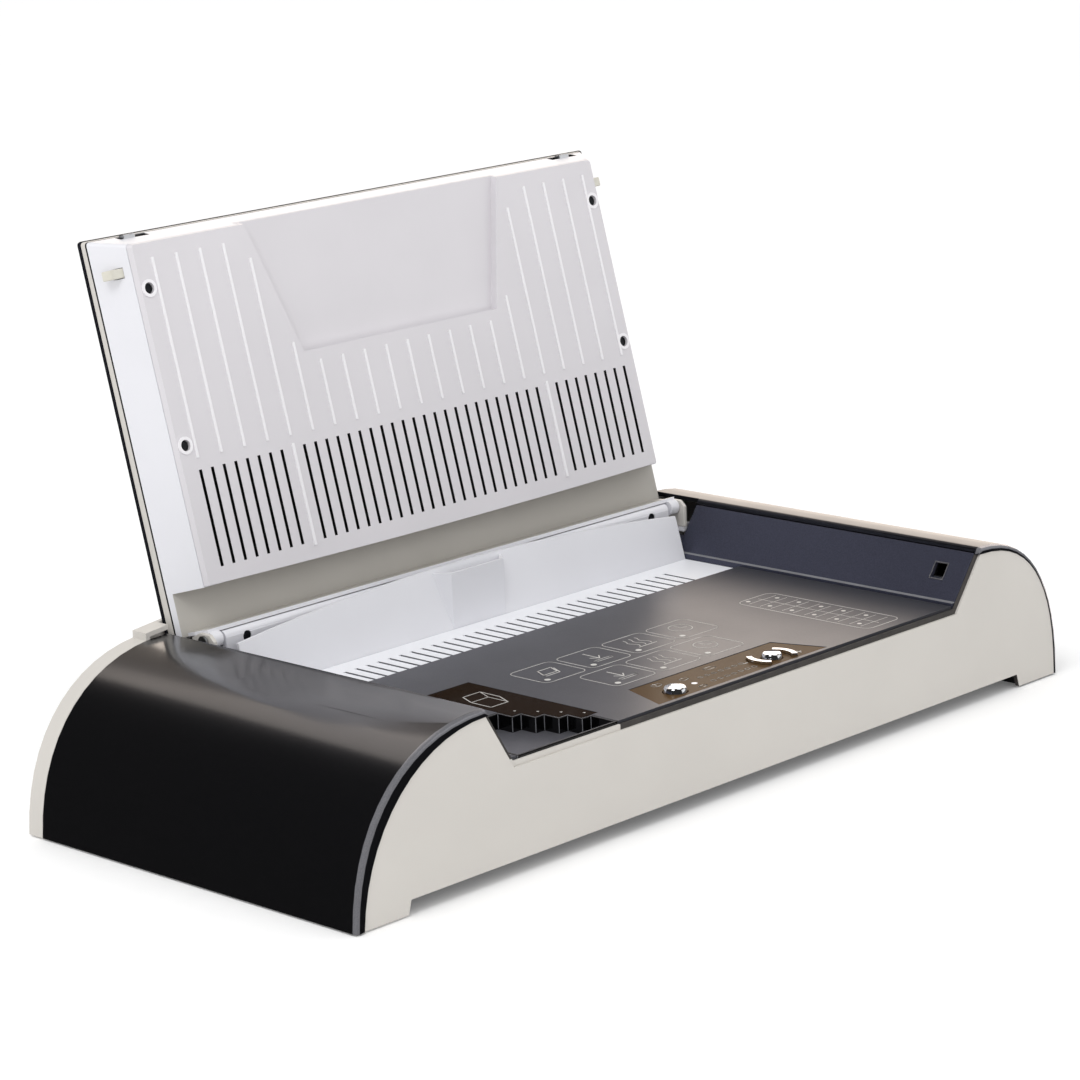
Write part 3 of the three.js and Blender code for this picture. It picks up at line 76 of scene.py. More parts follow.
camera_data = bpy.data.cameras.new("camera")
camera_data.sensor_width = FILM_WIDTH
camera_data.lens = LENS
camera = bpy.data.objects.new("camera", camera_data)
scene.collection.objects.link(camera)
camera.matrix_world = (
    Matrix.Translation(sheet_point(*CAMERA_PLACE))
    @ Matrix.Rotation(math.radians(CAMERA_AZIMUTH), 4, "Z")
    @ Matrix.Rotation(math.radians(90 - CAMERA_HEIGHT_ANGLE), 4, "X")
    @ Matrix.Rotation(math.radians(CAMERA_ROLL), 4, "Z")
)
scene.camera = camera


# Nodes. The size of a pattern is given in millimetres.

RELIEF_HEIGHT = 0.0002
ABS_IOR = 1.52
ACRYLIC_IOR = 1.49


def colour(hex_code):
    """sRGB hex code as a linear colour, by the standard's own curve."""
    channels = [int(hex_code[i:i + 2], 16) / 255 for i in (1, 3, 5)]
    return [c / 12.92 if c <= 0.04045 else ((c + 0.055) / 1.055) ** 2.4 for c in channels] + [1]


def add(tree, kind, inputs=None):
    """Adds a node and sets its sockets; a socket given as (node, output) is linked."""
    node = tree.nodes.new("ShaderNode" + kind)
    for name, value in (inputs or {}).items():
        if isinstance(value, tuple) and isinstance(value[0], bpy.types.Node):
            tree.links.new(value[0].outputs[value[1]], node.inputs[name])
        else:
            node.inputs[name].default_value = value
    return node


def new_tree(name):
    """Empty material, its tree, and Object coordinates in millimetres."""
    material = bpy.data.materials.new(name)
    material.use_nodes = True
    tree = material.node_tree
    tree.nodes.clear()
    place = add(tree, "TexCoord")
    millimetres = add(tree, "Mapping", {
        "Vector": (place, "Object"), "Scale": (1 / MM, 1 / MM, 1 / MM)})
    return material, tree, millimetres


def noise(tree, place, size, detail):
    """Noise with lumps of about the given size."""
    return add(tree, "TexNoise", {
        "Vector": (place, "Vector"), "Scale": 1 / size, "Detail": detail})


def two_tone(tree, pattern, low, high, span=(0, 1)):
    """Colour that goes from low to high over a span of the pattern, given as (node, output)."""
    tone = add(tree, "ValToRGB", {"Fac": pattern})
    for element, position, code in zip(tone.color_ramp.elements, span, (low, high)):
        element.position = position
        element.color = colour(code)
    return tone, "Color"


def raised(tree, pattern, strength):
    """Normal of a surface that the pattern raises slightly."""
    bump = add(tree, "Bump", {
        "Height": (pattern, "Fac"), "Strength": strength, "Distance": RELIEF_HEIGHT})
    return bump, "Normal"


def uneven(tree, pattern, low, high):
    """Roughness that the pattern varies between two values."""
    shine = add(tree, "MapRange", {"Value": (pattern, "Fac"), "To Min": low, "To Max": high})
    return shine, "Result"


def finish_tree(tree, inputs):
    shader = add(tree, "BsdfPrincipled", inputs)
    add(tree, "OutputMaterial", {"Surface": (shader, "BSDF")})


# Kinds of surface

CLOUD_DETAIL, CLOUD_SPAN = 3, (0.35, 0.65)
GRAIN_DETAIL, GRAIN_SPREAD = 2, 0.04


def moulded(name, low, high, roughness, grain, depth, specular=0.5, mottling=9):
    """Spark-textured or satin moulded plastic: a fine even grain and a faint cloudiness."""
    material, tree, place = new_tree(name)
    cloud = noise(tree, place, mottling, CLOUD_DETAIL)
    texture = noise(tree, place, grain, GRAIN_DETAIL)
    finish_tree(tree, {
        "Base Color": two_tone(tree, (cloud, "Fac"), low, high, CLOUD_SPAN),
        "Roughness": uneven(tree, texture, roughness - GRAIN_SPREAD, roughness + GRAIN_SPREAD),
        "Normal": raised(tree, texture, depth),
        "IOR": ABS_IOR, "Specular IOR Level": specular})
    return material


FLAKE_SIZE = 0.35
PEEL_SIZE, PEEL_DETAIL, PEEL_DEPTH = 2.5, 1, 0.05
DULL_PATCH, DULL_DETAIL = 40, 4
DULL_LOW, DULL_HIGH = -0.04, 0.05
COAT_ROUGHNESS = 0.16
SLIGHT_BLUE = "#c6cff2"
NEUTRAL = "#dcdbe8"


def lacquer(name, base, flake, metallic, roughness, specular=0.5, tint=SLIGHT_BLUE, coat=0):
    """Sprayed metallic lacquer: fine flakes and a slight orange peel, with a tinted reflection."""
    material, tree, place = new_tree(name)
    cells = add(tree, "TexVoronoi", {"Vector": (place, "Vector"), "Scale": 1 / FLAKE_SIZE})
    peel = raised(tree, noise(tree, place, PEEL_SIZE, PEEL_DETAIL), PEEL_DEPTH)
    dulling = noise(tree, place, DULL_PATCH, DULL_DETAIL)
    finish_tree(tree, {
        "Base Color": two_tone(tree, (cells, "Color"), base, flake),
        "Metallic": metallic,
        "Roughness": uneven(tree, dulling, roughness + DULL_LOW, roughness + DULL_HIGH),
        "Specular IOR Level": specular, "Specular Tint": colour(tint), "Normal": peel,
        "Coat Weight": coat, "Coat Roughness": COAT_ROUGHNESS, "Coat Normal": peel})
    return material


LAY_DETAIL = 3
METAL_LOW, METAL_HIGH = 0.8, 1.3


def metal(name, low, high, roughness, grain, stretch=(1, 1, 1)):
    """Bare or plated metal, with the fine marks of its making."""
    material, tree, place = new_tree(name)
    stretched = add(tree, "Mapping", {"Vector": (place, "Vector"), "Scale": stretch})
    lay = noise(tree, stretched, grain, LAY_DETAIL)
    finish_tree(tree, {
        "Base Color": two_tone(tree, (lay, "Fac"), low, high),
        "Metallic": 1.0,
        "Roughness": uneven(tree, lay, roughness * METAL_LOW, roughness * METAL_HIGH)})
    return material


SMOKE_PATCH, SMOKE_DETAIL = 30, 2
RUB_SIZE, RUB_DETAIL = 3, 5
RUB_LOW, RUB_HIGH = 0.7, 1.4


def tinted(name, low, high, roughness, specular):
    """Smoked acrylic over a dark backing: glossy, with faint rub marks."""
    material, tree, place = new_tree(name)
    cloud = noise(tree, place, SMOKE_PATCH, SMOKE_DETAIL)
    rubs = noise(tree, place, RUB_SIZE, RUB_DETAIL)
    finish_tree(tree, {
        "Base Color": two_tone(tree, (cloud, "Fac"), low, high),
        "Roughness": uneven(tree, rubs, roughness * RUB_LOW, roughness * RUB_HIGH),
        "IOR": ACRYLIC_IOR, "Specular IOR Level": specular})
    return material


# Materials, each with what it gives the eye

BROAD = 60

# A warm pale grey whose grain breaks up every reflection
PALE_ABS = moulded("spark_textured_pale_abs", "#d0ccc6", "#d3cfc9",
                   roughness=0.5, grain=0.6, depth=0.12, mottling=BROAD)
# Clean cool white with soft gradients
WHITE_ABS = moulded("satin_white_abs", "#e4e4e9", "#e7e7ec",
                    roughness=0.4, grain=0.8, depth=0.06, mottling=BROAD)
# The brightest white, so that the strip stands out from the wall behind it: partly the strip's own
# white, partly painted light for the light that falls on its top
STRIP_WHITE_AND_PAINTED_LIGHT = moulded("white_nylon_with_painted_top_light", "#f3f4f8", "#f6f7fb",
                      roughness=0.4, grain=0.8, depth=0.06, mottling=BROAD)
# A slightly rosy grey, a step darker than the frame round it
LID_ABS = moulded("satin_lid_abs", "#d8d5d9", "#dbd8dc",
                  roughness=0.42, grain=0.8, depth=0.08, mottling=BROAD)
# Nearly black, with a soft wide sheen
GRAPHITE = lacquer("graphite_gloss_lacquer", "#090808", "#131213",
                   metallic=0, roughness=0.3, specular=0.4)
# The same under clear coat: brighter, because the left crown mirrors the pale lid
POLISHED_GRAPHITE = lacquer("graphite_lacquer_under_clear_coat", "#090808", "#100f10",
                            metallic=0, roughness=0.3, specular=0.4, coat=1)
# Flaked grey, a painted highlight: a line of light along the shells' lips
LIP_PAINTED_HIGHLIGHT = lacquer("painted_lip_highlight_lacquer", "#737378", "#87878b",
                   metallic=0.3, roughness=0.25, tint=NEUTRAL)
# Dark blue-grey walls with a dull glimmer
SLATE = lacquer("slate_metallic_lacquer", "#30313c", "#40414f", metallic=0.1, roughness=0.36)
# Mid grey deck that turns paler or darker with what it faces
FILM_GREY = lacquer("grey_metallic_overlay", "#3a3b40", "#48494e",
                    metallic=0.1, roughness=0.34, tint=NEUTRAL)
# The same film a shade lighter, on the floor of the gauge
GAUGE_GREY = lacquer("light_grey_metallic_overlay", "#5a5a60", "#66666b",
                     metallic=0.1, roughness=0.34, tint=NEUTRAL)
# Brown glass-like panel with a blurred sheen
BRONZE = tinted("smoked_bronze_acrylic", "#523f2a", "#5e4931", roughness=0.22, specular=0.012)
# A darker brown, nearly without sheen
SMOKED = tinted("dark_smoked_acrylic", "#1d130b", "#261a10", roughness=0.12, specular=0.005)
# Painted highlight: near white on the lid's ribs and on its edges that face the key light, so the
# ribs read as fine white lines
RIB_HIGHLIGHT_ABS = moulded("lid_abs_painted_highlight", "#efedf0", "#f2f0f3",
                       roughness=0.3, grain=0.8, depth=0.04, mottling=BROAD)
# A dull dark line between the deck and the front panel
GASKET = moulded("grey_elastomer_gasket", "#413d3b", "#4a4643",
                 roughness=0.6, grain=0.8, depth=0.1)
# Broad light patches without sharp images
SATIN_CHROME = metal("satin_chrome_plate", "#dcdee2", "#eaebee", roughness=0.35, grain=2)
# Mid grey, painted shade on the strip's slot walls and painted highlights on ledges and stair
# corners
SHADE_AND_HIGHLIGHT_GREY = moulded("grey_painted_shade_and_highlight", "#77787c", "#808186",
                    roughness=0.4, grain=0.8, depth=0.05)
# A darker, yellower grey than the lid in the trough over the hinge: painted shade for the hollow
# that faces down
TROUGH_SHADE_GREY = moulded("trough_abs_painted_shade", "#bcb8b1", "#c0bcb5",
                      roughness=0.5, grain=0.8, depth=0.08, mottling=BROAD)
# A light line round the latch hole
SATIN_ALUMINIUM = metal("satin_aluminium_trim", "#c2c3c6", "#d4d5d8", roughness=0.3, grain=1)
# Black with a faint sheen, for black parts, and as painted shade in the lid's slots, in the cover's
# lining and inside the latch windows
BLACK_ABS_AND_PAINTED_SHADE = moulded("black_abs_and_painted_shade", "#0b0b0c", "#121214",
                    roughness=0.35, grain=0.8, depth=0.1)
# Deep black that mirrors a little, on the gauge's stairs
GLOSS_BLACK = moulded("polished_black_abs", "#060607", "#0a0a0b",
                      roughness=0.12, grain=0.8, depth=0.02)
# Sharp black and white images of the surroundings
CHROME = metal("chrome_plate", "#dcdee2", "#eaebee", roughness=0.05, grain=4)
# Cool grey, cloudy sheen
ZINC = metal("zinc_plated_steel", "#9fa2a4", "#bdbfc0", roughness=0.32, grain=1.5)
# Nearly black screws with a metal glint
OXIDE = metal("black_oxide_steel", "#26272a", "#393a3d", roughness=0.38, grain=1.5)
# Pale metal with lines along the rolling direction
ALUMINIUM = metal("mill_finish_aluminium", "#b4b6b8", "#cfd1d2",
                  roughness=0.35, grain=1, stretch=(0.05, 1, 1))
# Creamy and slightly waxy
ACETAL = moulded("cream_acetal", "#d3cfc2", "#dbd8cc", roughness=0.4, grain=1, depth=0.1)
# Flat black without sheen
RUBBER = moulded("moulded_black_rubber", "#111111", "#191919",
                 roughness=0.85, grain=0.5, depth=0.4)
# Dark green under a solder mask
BOARD = moulded("green_circuit_board", "#15402a", "#1d5538", roughness=0.35, grain=2, depth=0.1)
# Flaky light brown
MICA = moulded("brown_mica_sheet", "#9a8566", "#b9a583", roughness=0.6, grain=3, depth=0.2)
# Matt pale ink
PRINT = moulded("pale_screen_print", "#cfcdc8", "#dbd9d4", roughness=0.55, grain=1, depth=0.05)
# A white dot like a lit lamp under its window
LIT = moulded("white_light_window", "#f4f4ff", "#ffffff", roughness=0.3, grain=1, depth=0.02)

SLOT_MATERIALS = {
    "panel": PALE_ABS, "graphite": GRAPHITE, "bluegrey": SLATE, "deck": FILM_GREY,
    "white": WHITE_ABS, "lidpanel": LID_ABS, "bronze": BRONZE, "chrome": CHROME,
    "cream": ACETAL, "black": BLACK_ABS_AND_PAINTED_SHADE, "rubber": RUBBER, "steel": ZINC,
    "aluminium": ALUMINIUM, "board": BOARD, "mica": MICA,
}

slots = {part["node"]: part["material_slot"] for part in frame["record"]["subparts"]}
bodies = {node: body for body, members in frame["record"]["behaviour"]["bodies"].items()
          for node in members}
for node, thing in frame["nodes"].items():
    thing.data.materials.clear()
    thing.data.materials.append(OXIDE if "screw" in node else SLOT_MATERIALS[slots[node]])


# Pieces that stand for a solid, with its edges eased. Angles are in degrees.

WELD = 1e-6
FLAT_ANGLE = 0.6
EDGE_ANGLE = 28
SHELL_EDGE_ANGLE = 45
SHARP_ANGLE = 35


def mesh_piece(name, bm, materials, body, sharp=SHARP_ANGLE):
    """Turns a bmesh into a piece that rides on a body."""
    mesh = bpy.data.meshes.new(name)
    bm.to_mesh(mesh)
    bm.free()
    for material in materials:
        mesh.materials.append(material)
    mesh.shade_smooth()
    mesh.set_sharp_from_angle(angle=math.radians(sharp))
    thing = bpy.data.objects.new(name, mesh)
    scene.collection.objects.link(thing)
    # Wide flat faces keep their own normals beside the rounded edges, so no crease crosses them.
    flat = thing.modifiers.new("flat_faces", "WEIGHTED_NORMAL")
    flat.keep_sharp = True
    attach(thing, body)
    return thing


def eased(node, edge, materials=(None,), chooses=lambda face: 0, fold=EDGE_ANGLE, cuts=()):
    """Copy of a solid with its edges rounded by so many millimetres.

    chooses(face) gives the number of the face's material, and None among the materials stands
    for the solid's own. cuts are planes (place, normal) that divide the faces.
    """
    bm = bmesh.new()
    bm.from_mesh(frame["nodes"][node].data)
    bmesh.ops.remove_doubles(bm, verts=bm.verts, dist=WELD)
    bmesh.ops.dissolve_limit(
        bm, angle_limit=math.radians(FLAT_ANGLE), verts=bm.verts, edges=bm.edges)
    folds = [e for e in bm.edges
             if len(e.link_faces) == 2 and e.calc_face_angle(0) > math.radians(fold)]
    bmesh.ops.bevel(bm, geom=folds, offset=edge * MM, offset_type="OFFSET", segments=2,
                    profile=0.5, affect="EDGES", clamp_overlap=True, material=-1)
    for place, normal in cuts:
        bmesh.ops.bisect_plane(bm, geom=bm.verts[:] + bm.edges[:] + bm.faces[:],
                               plane_co=place, plane_no=normal)
    for face in bm.faces:
        face.material_index = chooses(face)
    finishes = [material or SLOT_MATERIALS[slots[node]] for material in materials]
    piece = mesh_piece(node + "_eased", bm, finishes, bodies[node])
    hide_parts(node)


# How far the edges are rounded, in millimetres, so that each catches a line of light
EASED_EDGES = {
    "rear_panel": 0.8, "deck_panel": 0.4, "backrest_wall": 0.4, "hinge_rail": 0.3,
    "hinge_bracket_left": 0.3, "hinge_bracket_right": 0.3,
    "latch_bolt_left": 0.5, "latch_bolt_right": 0.5,
    "control_lens": 0.25, "less_button": 0.6, "more_button": 0.6,
}
PAD_EDGE = 0.5
SHELL_EDGE = 0.3
CHEEK_EDGE = 0.4
STRIP_EDGE = 0.2
FRONT_EDGE = 0.7
WINDOW_EDGE = 0.15
TRAY_EDGE = 0.3
FRAME_EDGE = 0.4
INNER_PANEL_EDGE = 0.2
COVER_EDGE = 0.5
SKIN_EDGE = 0.5

for node, edge in EASED_EDGES.items():
    eased(node, edge)
for node in ("latch_pad_left", "latch_pad_right"):
    eased(node, PAD_EDGE, (SATIN_CHROME,))

# The part of a face's normal that has to lie in a direction for the face to look that way
SQUARE = 0.9
MOSTLY = 0.7
# The range of it over the rounds between two square faces
ROUND_FROM, ROUND_TO = -0.95, -0.25


def shortest_edge(face):
    return min(edge.calc_length() for edge in face.edges)


# How far the lip lies behind the front face, and the ledge above the deck, at most
LIP_REACH = 1.9
LEDGE_RISE = 2


def lip_highlight_finish(face):
    """Painted highlight: the rolled lip's rounded faces get a lighter grey than the crown behind
    it.
    """
    on_lip = face.calc_center_median().y < FRONT_LOW.y + LIP_REACH * MM
    return int(on_lip and ROUND_FROM < face.normal.y < ROUND_TO)


def ledge_reflection_finish(face):
    """Painted reflection: the top of the ledge along the deck gets a lighter grey."""
    low = face.calc_center_median().z < DECK_HIGH.z + LEDGE_RISE * MM
    return int(low and face.normal.z > MOSTLY)


def slot_shade_finish(face):
    """Painted shade: the walls of the strip's slots are grey, so that the slots show."""
    return int(abs(face.normal.x) > SQUARE)


for node, finish in (("end_shell_left", POLISHED_GRAPHITE), ("end_shell_right", GRAPHITE)):
    eased(node, SHELL_EDGE, (finish, LIP_PAINTED_HIGHLIGHT), lip_highlight_finish, fold=SHELL_EDGE_ANGLE)
for node in ("cheek_left", "cheek_right"):
    eased(node, CHEEK_EDGE, (None, SHADE_AND_HIGHLIGHT_GREY), ledge_reflection_finish)
eased("comb_strip", STRIP_EDGE, (STRIP_WHITE_AND_PAINTED_LIGHT, SHADE_AND_HIGHLIGHT_GREY), slot_shade_finish)

# The front panel's rebate begins behind this depth; the gauge's floor lies under this rise; and
# its stairs have rounds narrower than this corner, with normals that lean less than this
REBATE_DEPTH = 1.1
GAUGE_FLOOR_RISE = 2.5
STAIR_CORNER = 0.25
STAIR_LEAN = 0.2
GAUGE_LOW, GAUGE_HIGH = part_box("spine_gauge_tray")


def gasket_finish(face):
    """The front panel's rebate holds a gasket along the deck, but none in front of the gauge."""
    middle = face.calc_center_median()
    beside_gauge = middle.x < GAUGE_HIGH.x and middle.z < GAUGE_HIGH.z
    return int(middle.y > FRONT_LOW.y + REBATE_DEPTH * MM and not beside_gauge)


def gauge_finish(face):
    """Black stair walls, a grey floor, and a painted highlight in grey on the rounded corners
    between the walls.
    """
    floor = face.calc_center_median().z < GAUGE_LOW.z + GAUGE_FLOOR_RISE * MM
    if floor and face.normal.z > SQUARE:
        return 1
    corner = shortest_edge(face) < STAIR_CORNER * MM and abs(face.normal.z) < STAIR_LEAN
    return 2 if corner else 0


eased("front_panel", FRONT_EDGE, (None, GASKET), gasket_finish,
      cuts=((GAUGE_HIGH, (1, 0, 0)), (GAUGE_HIGH, (0, 0, 1))))
eased("gauge_window", WINDOW_EDGE, (SMOKED,))
eased("spine_gauge_tray", TRAY_EDGE, (GLOSS_BLACK, GAUGE_GREY, SHADE_AND_HIGHLIGHT_GREY), gauge_finish)

# Places on the open lid, in millimetres: across it from mid-width (x), out from its inner face (n)
# and along it from the hinge (s)
HINGE = Vector((0, 69.91, 83))
LID_OUT = Vector((0, 0.96923, -0.24615))
LID_ALONG = Vector((0, 0.24615, 0.96923))

# Where the lid's different surfaces begin and end: from and to run along it, faces lie across it
TROUGH_FROM, TROUGH_TO, TROUGH_FACE = 5, 27, -0.5
TROUGH_TURN = 0.3
WINDOWS_ACROSS = ((-151.5, -132), (165.3, 185.6))
WINDOW_FROM, WINDOW_TO = 204.3, 211.5
WINDOW_FACE, WINDOW_BACK = 12, 16.8
SLOTS_FROM, SLOTS_TO, SLOT_FACE = 34, 86.5, -0.9
RIBS_FROM, RIB_FACE = 32, -1.05
RIB_ROUND = 0.2


def lid_place(face):
    from_hinge = face.calc_center_median() / MM - HINGE
    return from_hinge.x - SHIFT.x / MM, from_hinge.dot(LID_OUT), from_hinge.dot(LID_ALONG)


def frame_finish(face):
    """White frame, painted shade of grey on the trough over the hinge, and painted shade of black
    inside the latch windows.
    """
    x, n, s = lid_place(face)
    if TROUGH_FROM < s < TROUGH_TO and n > TROUGH_FACE and face.normal.dot(LID_OUT) < TROUGH_TURN:
        return 1
    in_window = WINDOW_FROM < s < WINDOW_TO and WINDOW_FACE < n < WINDOW_BACK
    return 2 if in_window and any(low < x < high for low, high in WINDOWS_ACROSS) else 0


def inner_panel_finish(face):
    """Pale panel, black slot walls as painted shade, and a painted highlight on the ribs and on the
    narrow edges that face the light.
    """
    _, n, s = lid_place(face)
    if n > SLOT_FACE and SLOTS_FROM < s < SLOTS_TO:
        return 1
    rib = n < RIB_FACE and s > RIBS_FROM
    lit_edge = shortest_edge(face) < RIB_ROUND * MM and ROUND_FROM < face.normal.x < ROUND_TO
    return 2 if rib or lit_edge else 0


def lining_shade_finish(face):
    """Painted shade: the cover's inner face is black, so that the slots look dark."""
    return int(face.normal.dot(LID_OUT) < -SQUARE)


def free_edge_finish(face):
    """The skin's free edge is left pale."""
    return int(face.normal.dot(LID_ALONG) > MOSTLY)


eased("lid_frame", FRAME_EDGE, (None, TROUGH_SHADE_GREY, BLACK_ABS_AND_PAINTED_SHADE), frame_finish)
eased("lid_inner_panel", INNER_PANEL_EDGE, (None, BLACK_ABS_AND_PAINTED_SHADE, RIB_HIGHLIGHT_ABS), inner_panel_finish)
eased("lid_cover", COVER_EDGE, (None, BLACK_ABS_AND_PAINTED_SHADE), lining_shade_finish)
eased("lid_skin", SKIN_EDGE, (None, PALE_ABS), free_edge_finish)


# Light metal trim round the right latch hole, lying on the slanted wall

HOLE_X, HOLE_Y, HOLE_Z = 190.4, 20.66, 71.45
WALL_SLOPE = 0.756
# Half length along y and half height
TRIM_OUTSIDE = (4.7, 4.1)
TRIM_INSIDE = (4.1, 3.6)
TRIM_DEPTH = (-0.28, 0, 0.21)


def trim_ring(half_y, half_z):
    return [(HOLE_X + sz * half_z * WALL_SLOPE, HOLE_Y + sy * half_y, HOLE_Z + sz * half_z)
            for sy, sz in ((-1, -1), (1, -1), (1, 1), (-1, 1))]


def thicken(bm, depth):
    """Pushes a copy of the faces out and closes the sides."""
    grown = bmesh.ops.extrude_face_region(bm, geom=bm.faces[:])
    moved = [v for v in grown["geom"] if isinstance(v, bmesh.types.BMVert)]
    bmesh.ops.translate(bm, verts=moved, vec=depth)
    bmesh.ops.recalc_face_normals(bm, faces=bm.faces)


def band(name, rings, depth, material):
    """Band between two rings of points, pushed along depth."""
    bm = bmesh.new()
    outer, inner = [[bm.verts.new(sheet_point(*place)) for place in ring] for ring in rings]
    for i in range(len(outer)):
        j = (i + 1) % len(outer)
        bm.faces.new((outer[i], outer[j], inner[j], inner[i]))
    thicken(bm, Vector(depth) * MM)
    mesh_piece(name, bm, [material], "base")


band("latch_trim_right", (trim_ring(*TRIM_OUTSIDE), trim_ring(*TRIM_INSIDE)), TRIM_DEPTH,
     SATIN_ALUMINIUM)


# Round buttons, spun smooth

BUTTON_STEPS = 64
BUTTON_SHARP_ANGLE = 40
# Shares of the radius and of the height, from the edge of the underside to the middle of the top
BUTTON_SHARES = (
    (0, 0), (1, 0), (1, 0.55), (0.985, 0.72), (0.94, 0.87), (0.87, 0.965), (0.78, 0.995), (0, 1))


def spun(name, node, shares, material):
    """Spins a profile about a button's own middle."""
    low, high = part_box(node)
    middle = (low + high) / 2
    radius = (high.x - low.x) / 2
    bm = bmesh.new()
    line = [bm.verts.new((middle.x + out * radius, middle.y, low.z + up * (high.z - low.z)))
            for out, up in shares]
    edges = [bm.edges.new(pair) for pair in zip(line, line[1:])]
    bmesh.ops.spin(bm, geom=line + edges, cent=middle, axis=(0, 0, 1), angle=2 * math.pi,
                   steps=BUTTON_STEPS, use_merge=True)
    bmesh.ops.remove_doubles(bm, verts=bm.verts, dist=WELD)
    bmesh.ops.recalc_face_normals(bm, faces=bm.faces)
    piece = mesh_piece(name, bm, [material], bodies[node], BUTTON_SHARP_ANGLE)
    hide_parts(node)


for node in ("power_button", "select_button"):
    spun(node + "_spun", node, BUTTON_SHARES, CHROME)


# Printed marks: thin films on the surface that carries them, drawn in millimetres

FILM_RISE = 0.02
FILM_THICKNESS = 0.05
FILM_SHARP_ANGLE = 20
BOLD, MEDIUM, PLAIN, FINE, HAIRLINE = 0.6, 0.5, 0.45, 0.4, 0.3


def stroke(bm, start, end, width):
    """Flat line between two points."""
    start, end = Vector(start), Vector(end)
    along = (end - start).normalized()
    side, lengthwise = along.orthogonal() * width / 2, along * width / 2
    corners = [start - side - lengthwise, end - side + lengthwise,
               end + side + lengthwise, start + side - lengthwise]
    bm.faces.new([bm.verts.new((c.x, c.y, 0)) for c in corners])


def path(bm, points, width, closed=False):
    loop = points + points[:1] if closed else points
    for start, end in zip(loop, loop[1:]):
        stroke(bm, start, end, width)


def rounded(x, y, half_x, half_y, radius, steps=5):
    """Outline of a rectangle with rounded corners."""
    points = []
    for quarter, (sx, sy) in enumerate(((1, 1), (-1, 1), (-1, -1), (1, -1))):
        for i in range(steps + 1):
            angle = math.radians(90 * (quarter + i / steps))
            points.append((x + sx * (half_x - radius) + radius * math.cos(angle),
                           y + sy * (half_y - radius) + radius * math.sin(angle)))
    return points


def dot(bm, x, y, radius, sides=14):
    turns = [2 * math.pi * i / sides for i in range(sides)]
    bm.faces.new([bm.verts.new((x + radius * math.cos(turn), y + radius * math.sin(turn), 0))
                  for turn in turns])


def marks(name, top, draw, material=PRINT):
    """Gives flat marks their thickness and lays them on a level surface of the base."""
    bm = bmesh.new()
    draw(bm)
    thicken(bm, (0, 0, FILM_THICKNESS))
    bmesh.ops.scale(bm, vec=(MM, MM, MM), verts=bm.verts)
    bmesh.ops.translate(bm, vec=sheet_point(0, 0, top + FILM_RISE), verts=bm.verts)
    mesh_piece(name, bm, [material], "base", FILM_SHARP_ANGLE)


# Motifs, in shares of their size from their middle

SHEET_SHARES = ((-1 / 2, -1 / 3), (1 / 4, -1 / 3), (1 / 2, 1 / 4), (-1 / 4, 1 / 4))
LOWER_SHEET_SHARES = ((-1 / 2, -1 / 2), (1 / 4, -1 / 2), (1 / 2, 1 / 12))
HAND_SHARES = ((0, 0.34), (0.24, -0.1))
SHAFT_SHARES = ((0, 1 / 2), (0, -1 / 3))
ARROWHEAD_SHARES = ((-1 / 4, -1 / 8), (0, -1 / 2.4), (1 / 4, -1 / 8))
PLATE_SHARES = (1 / 2, 1 / 12, 1 / 14)
BASE_SHARE = 0.62
WAVE_SHARE = 0.08
WAVE_POINTS = 9
POINTS_PER_BEND = 3


def scaled(x, y, size, shares):
    return [(x + across * size, y + up * size) for across, up in shares]


def sheets_motif(bm, x, y, size):
    path(bm, scaled(x, y, size, SHEET_SHARES), BOLD, True)
    path(bm, scaled(x, y, size, LOWER_SHEET_SHARES), BOLD)


def heat_motif(bm, x, y, size):
    for i in (-1, 0, 1):
        wave = [(x + i * size / 3 + size * WAVE_SHARE * math.sin(k * math.pi / POINTS_PER_BEND),
                 y - size / 2 + k * size / (WAVE_POINTS - 1)) for k in range(WAVE_POINTS)]
        path(bm, wave, MEDIUM)
    ground = y - size * BASE_SHARE
    stroke(bm, (x - size / 2, ground), (x + size / 2, ground), BOLD)


def clock_motif(bm, x, y, size):
    path(bm, rounded(x, y, size / 2, size / 2, size / 2), MEDIUM, True)
    for tip in scaled(x, y, size, HAND_SHARES):
        stroke(bm, (x, y), tip, MEDIUM)


def arrow_motif(bm, x, y, size):
    path(bm, scaled(x, y, size, SHAFT_SHARES), BOLD)
    path(bm, scaled(x, y, size, ARROWHEAD_SHARES), BOLD)
    plate = [share * size for share in PLATE_SHARES]
    path(bm, rounded(x, y - size * BASE_SHARE, *plate), FINE, True)


MOTIFS = (sheets_motif, arrow_motif, heat_motif, clock_motif)
MOTIF_SIZE = 13
MOTIF_X, MOTIF_Y = 1, 2

# Rows of tiles: how many, the first one's x, and y. A tile is its half width, half height and
# corner radius.
TILE_ROWS = ((4, -42, 91), (3, -25, 58))
TILE_PITCH = 34
TILE = (15.2, 14, 4)
TILE_DOT_X, TILE_DOT_Y, TILE_DOT = -10, -9.5, 1.7

# Chart at the right: a frame, and rows with a dot in each, now left and now right. The frame is x,
# y, half width, half height and corner radius.
CHART_MIDDLE = 130
CHART = (CHART_MIDDLE, 56, 14, 46, 5)
CHART_ROWS, CHART_FIRST, CHART_PITCH = 11, 17, 7.8
CHART_HALF_LINE = 11
CHART_DOT_X, CHART_DOT = 7.5, 1.3
CHART_FROM, CHART_TO = 14, 98


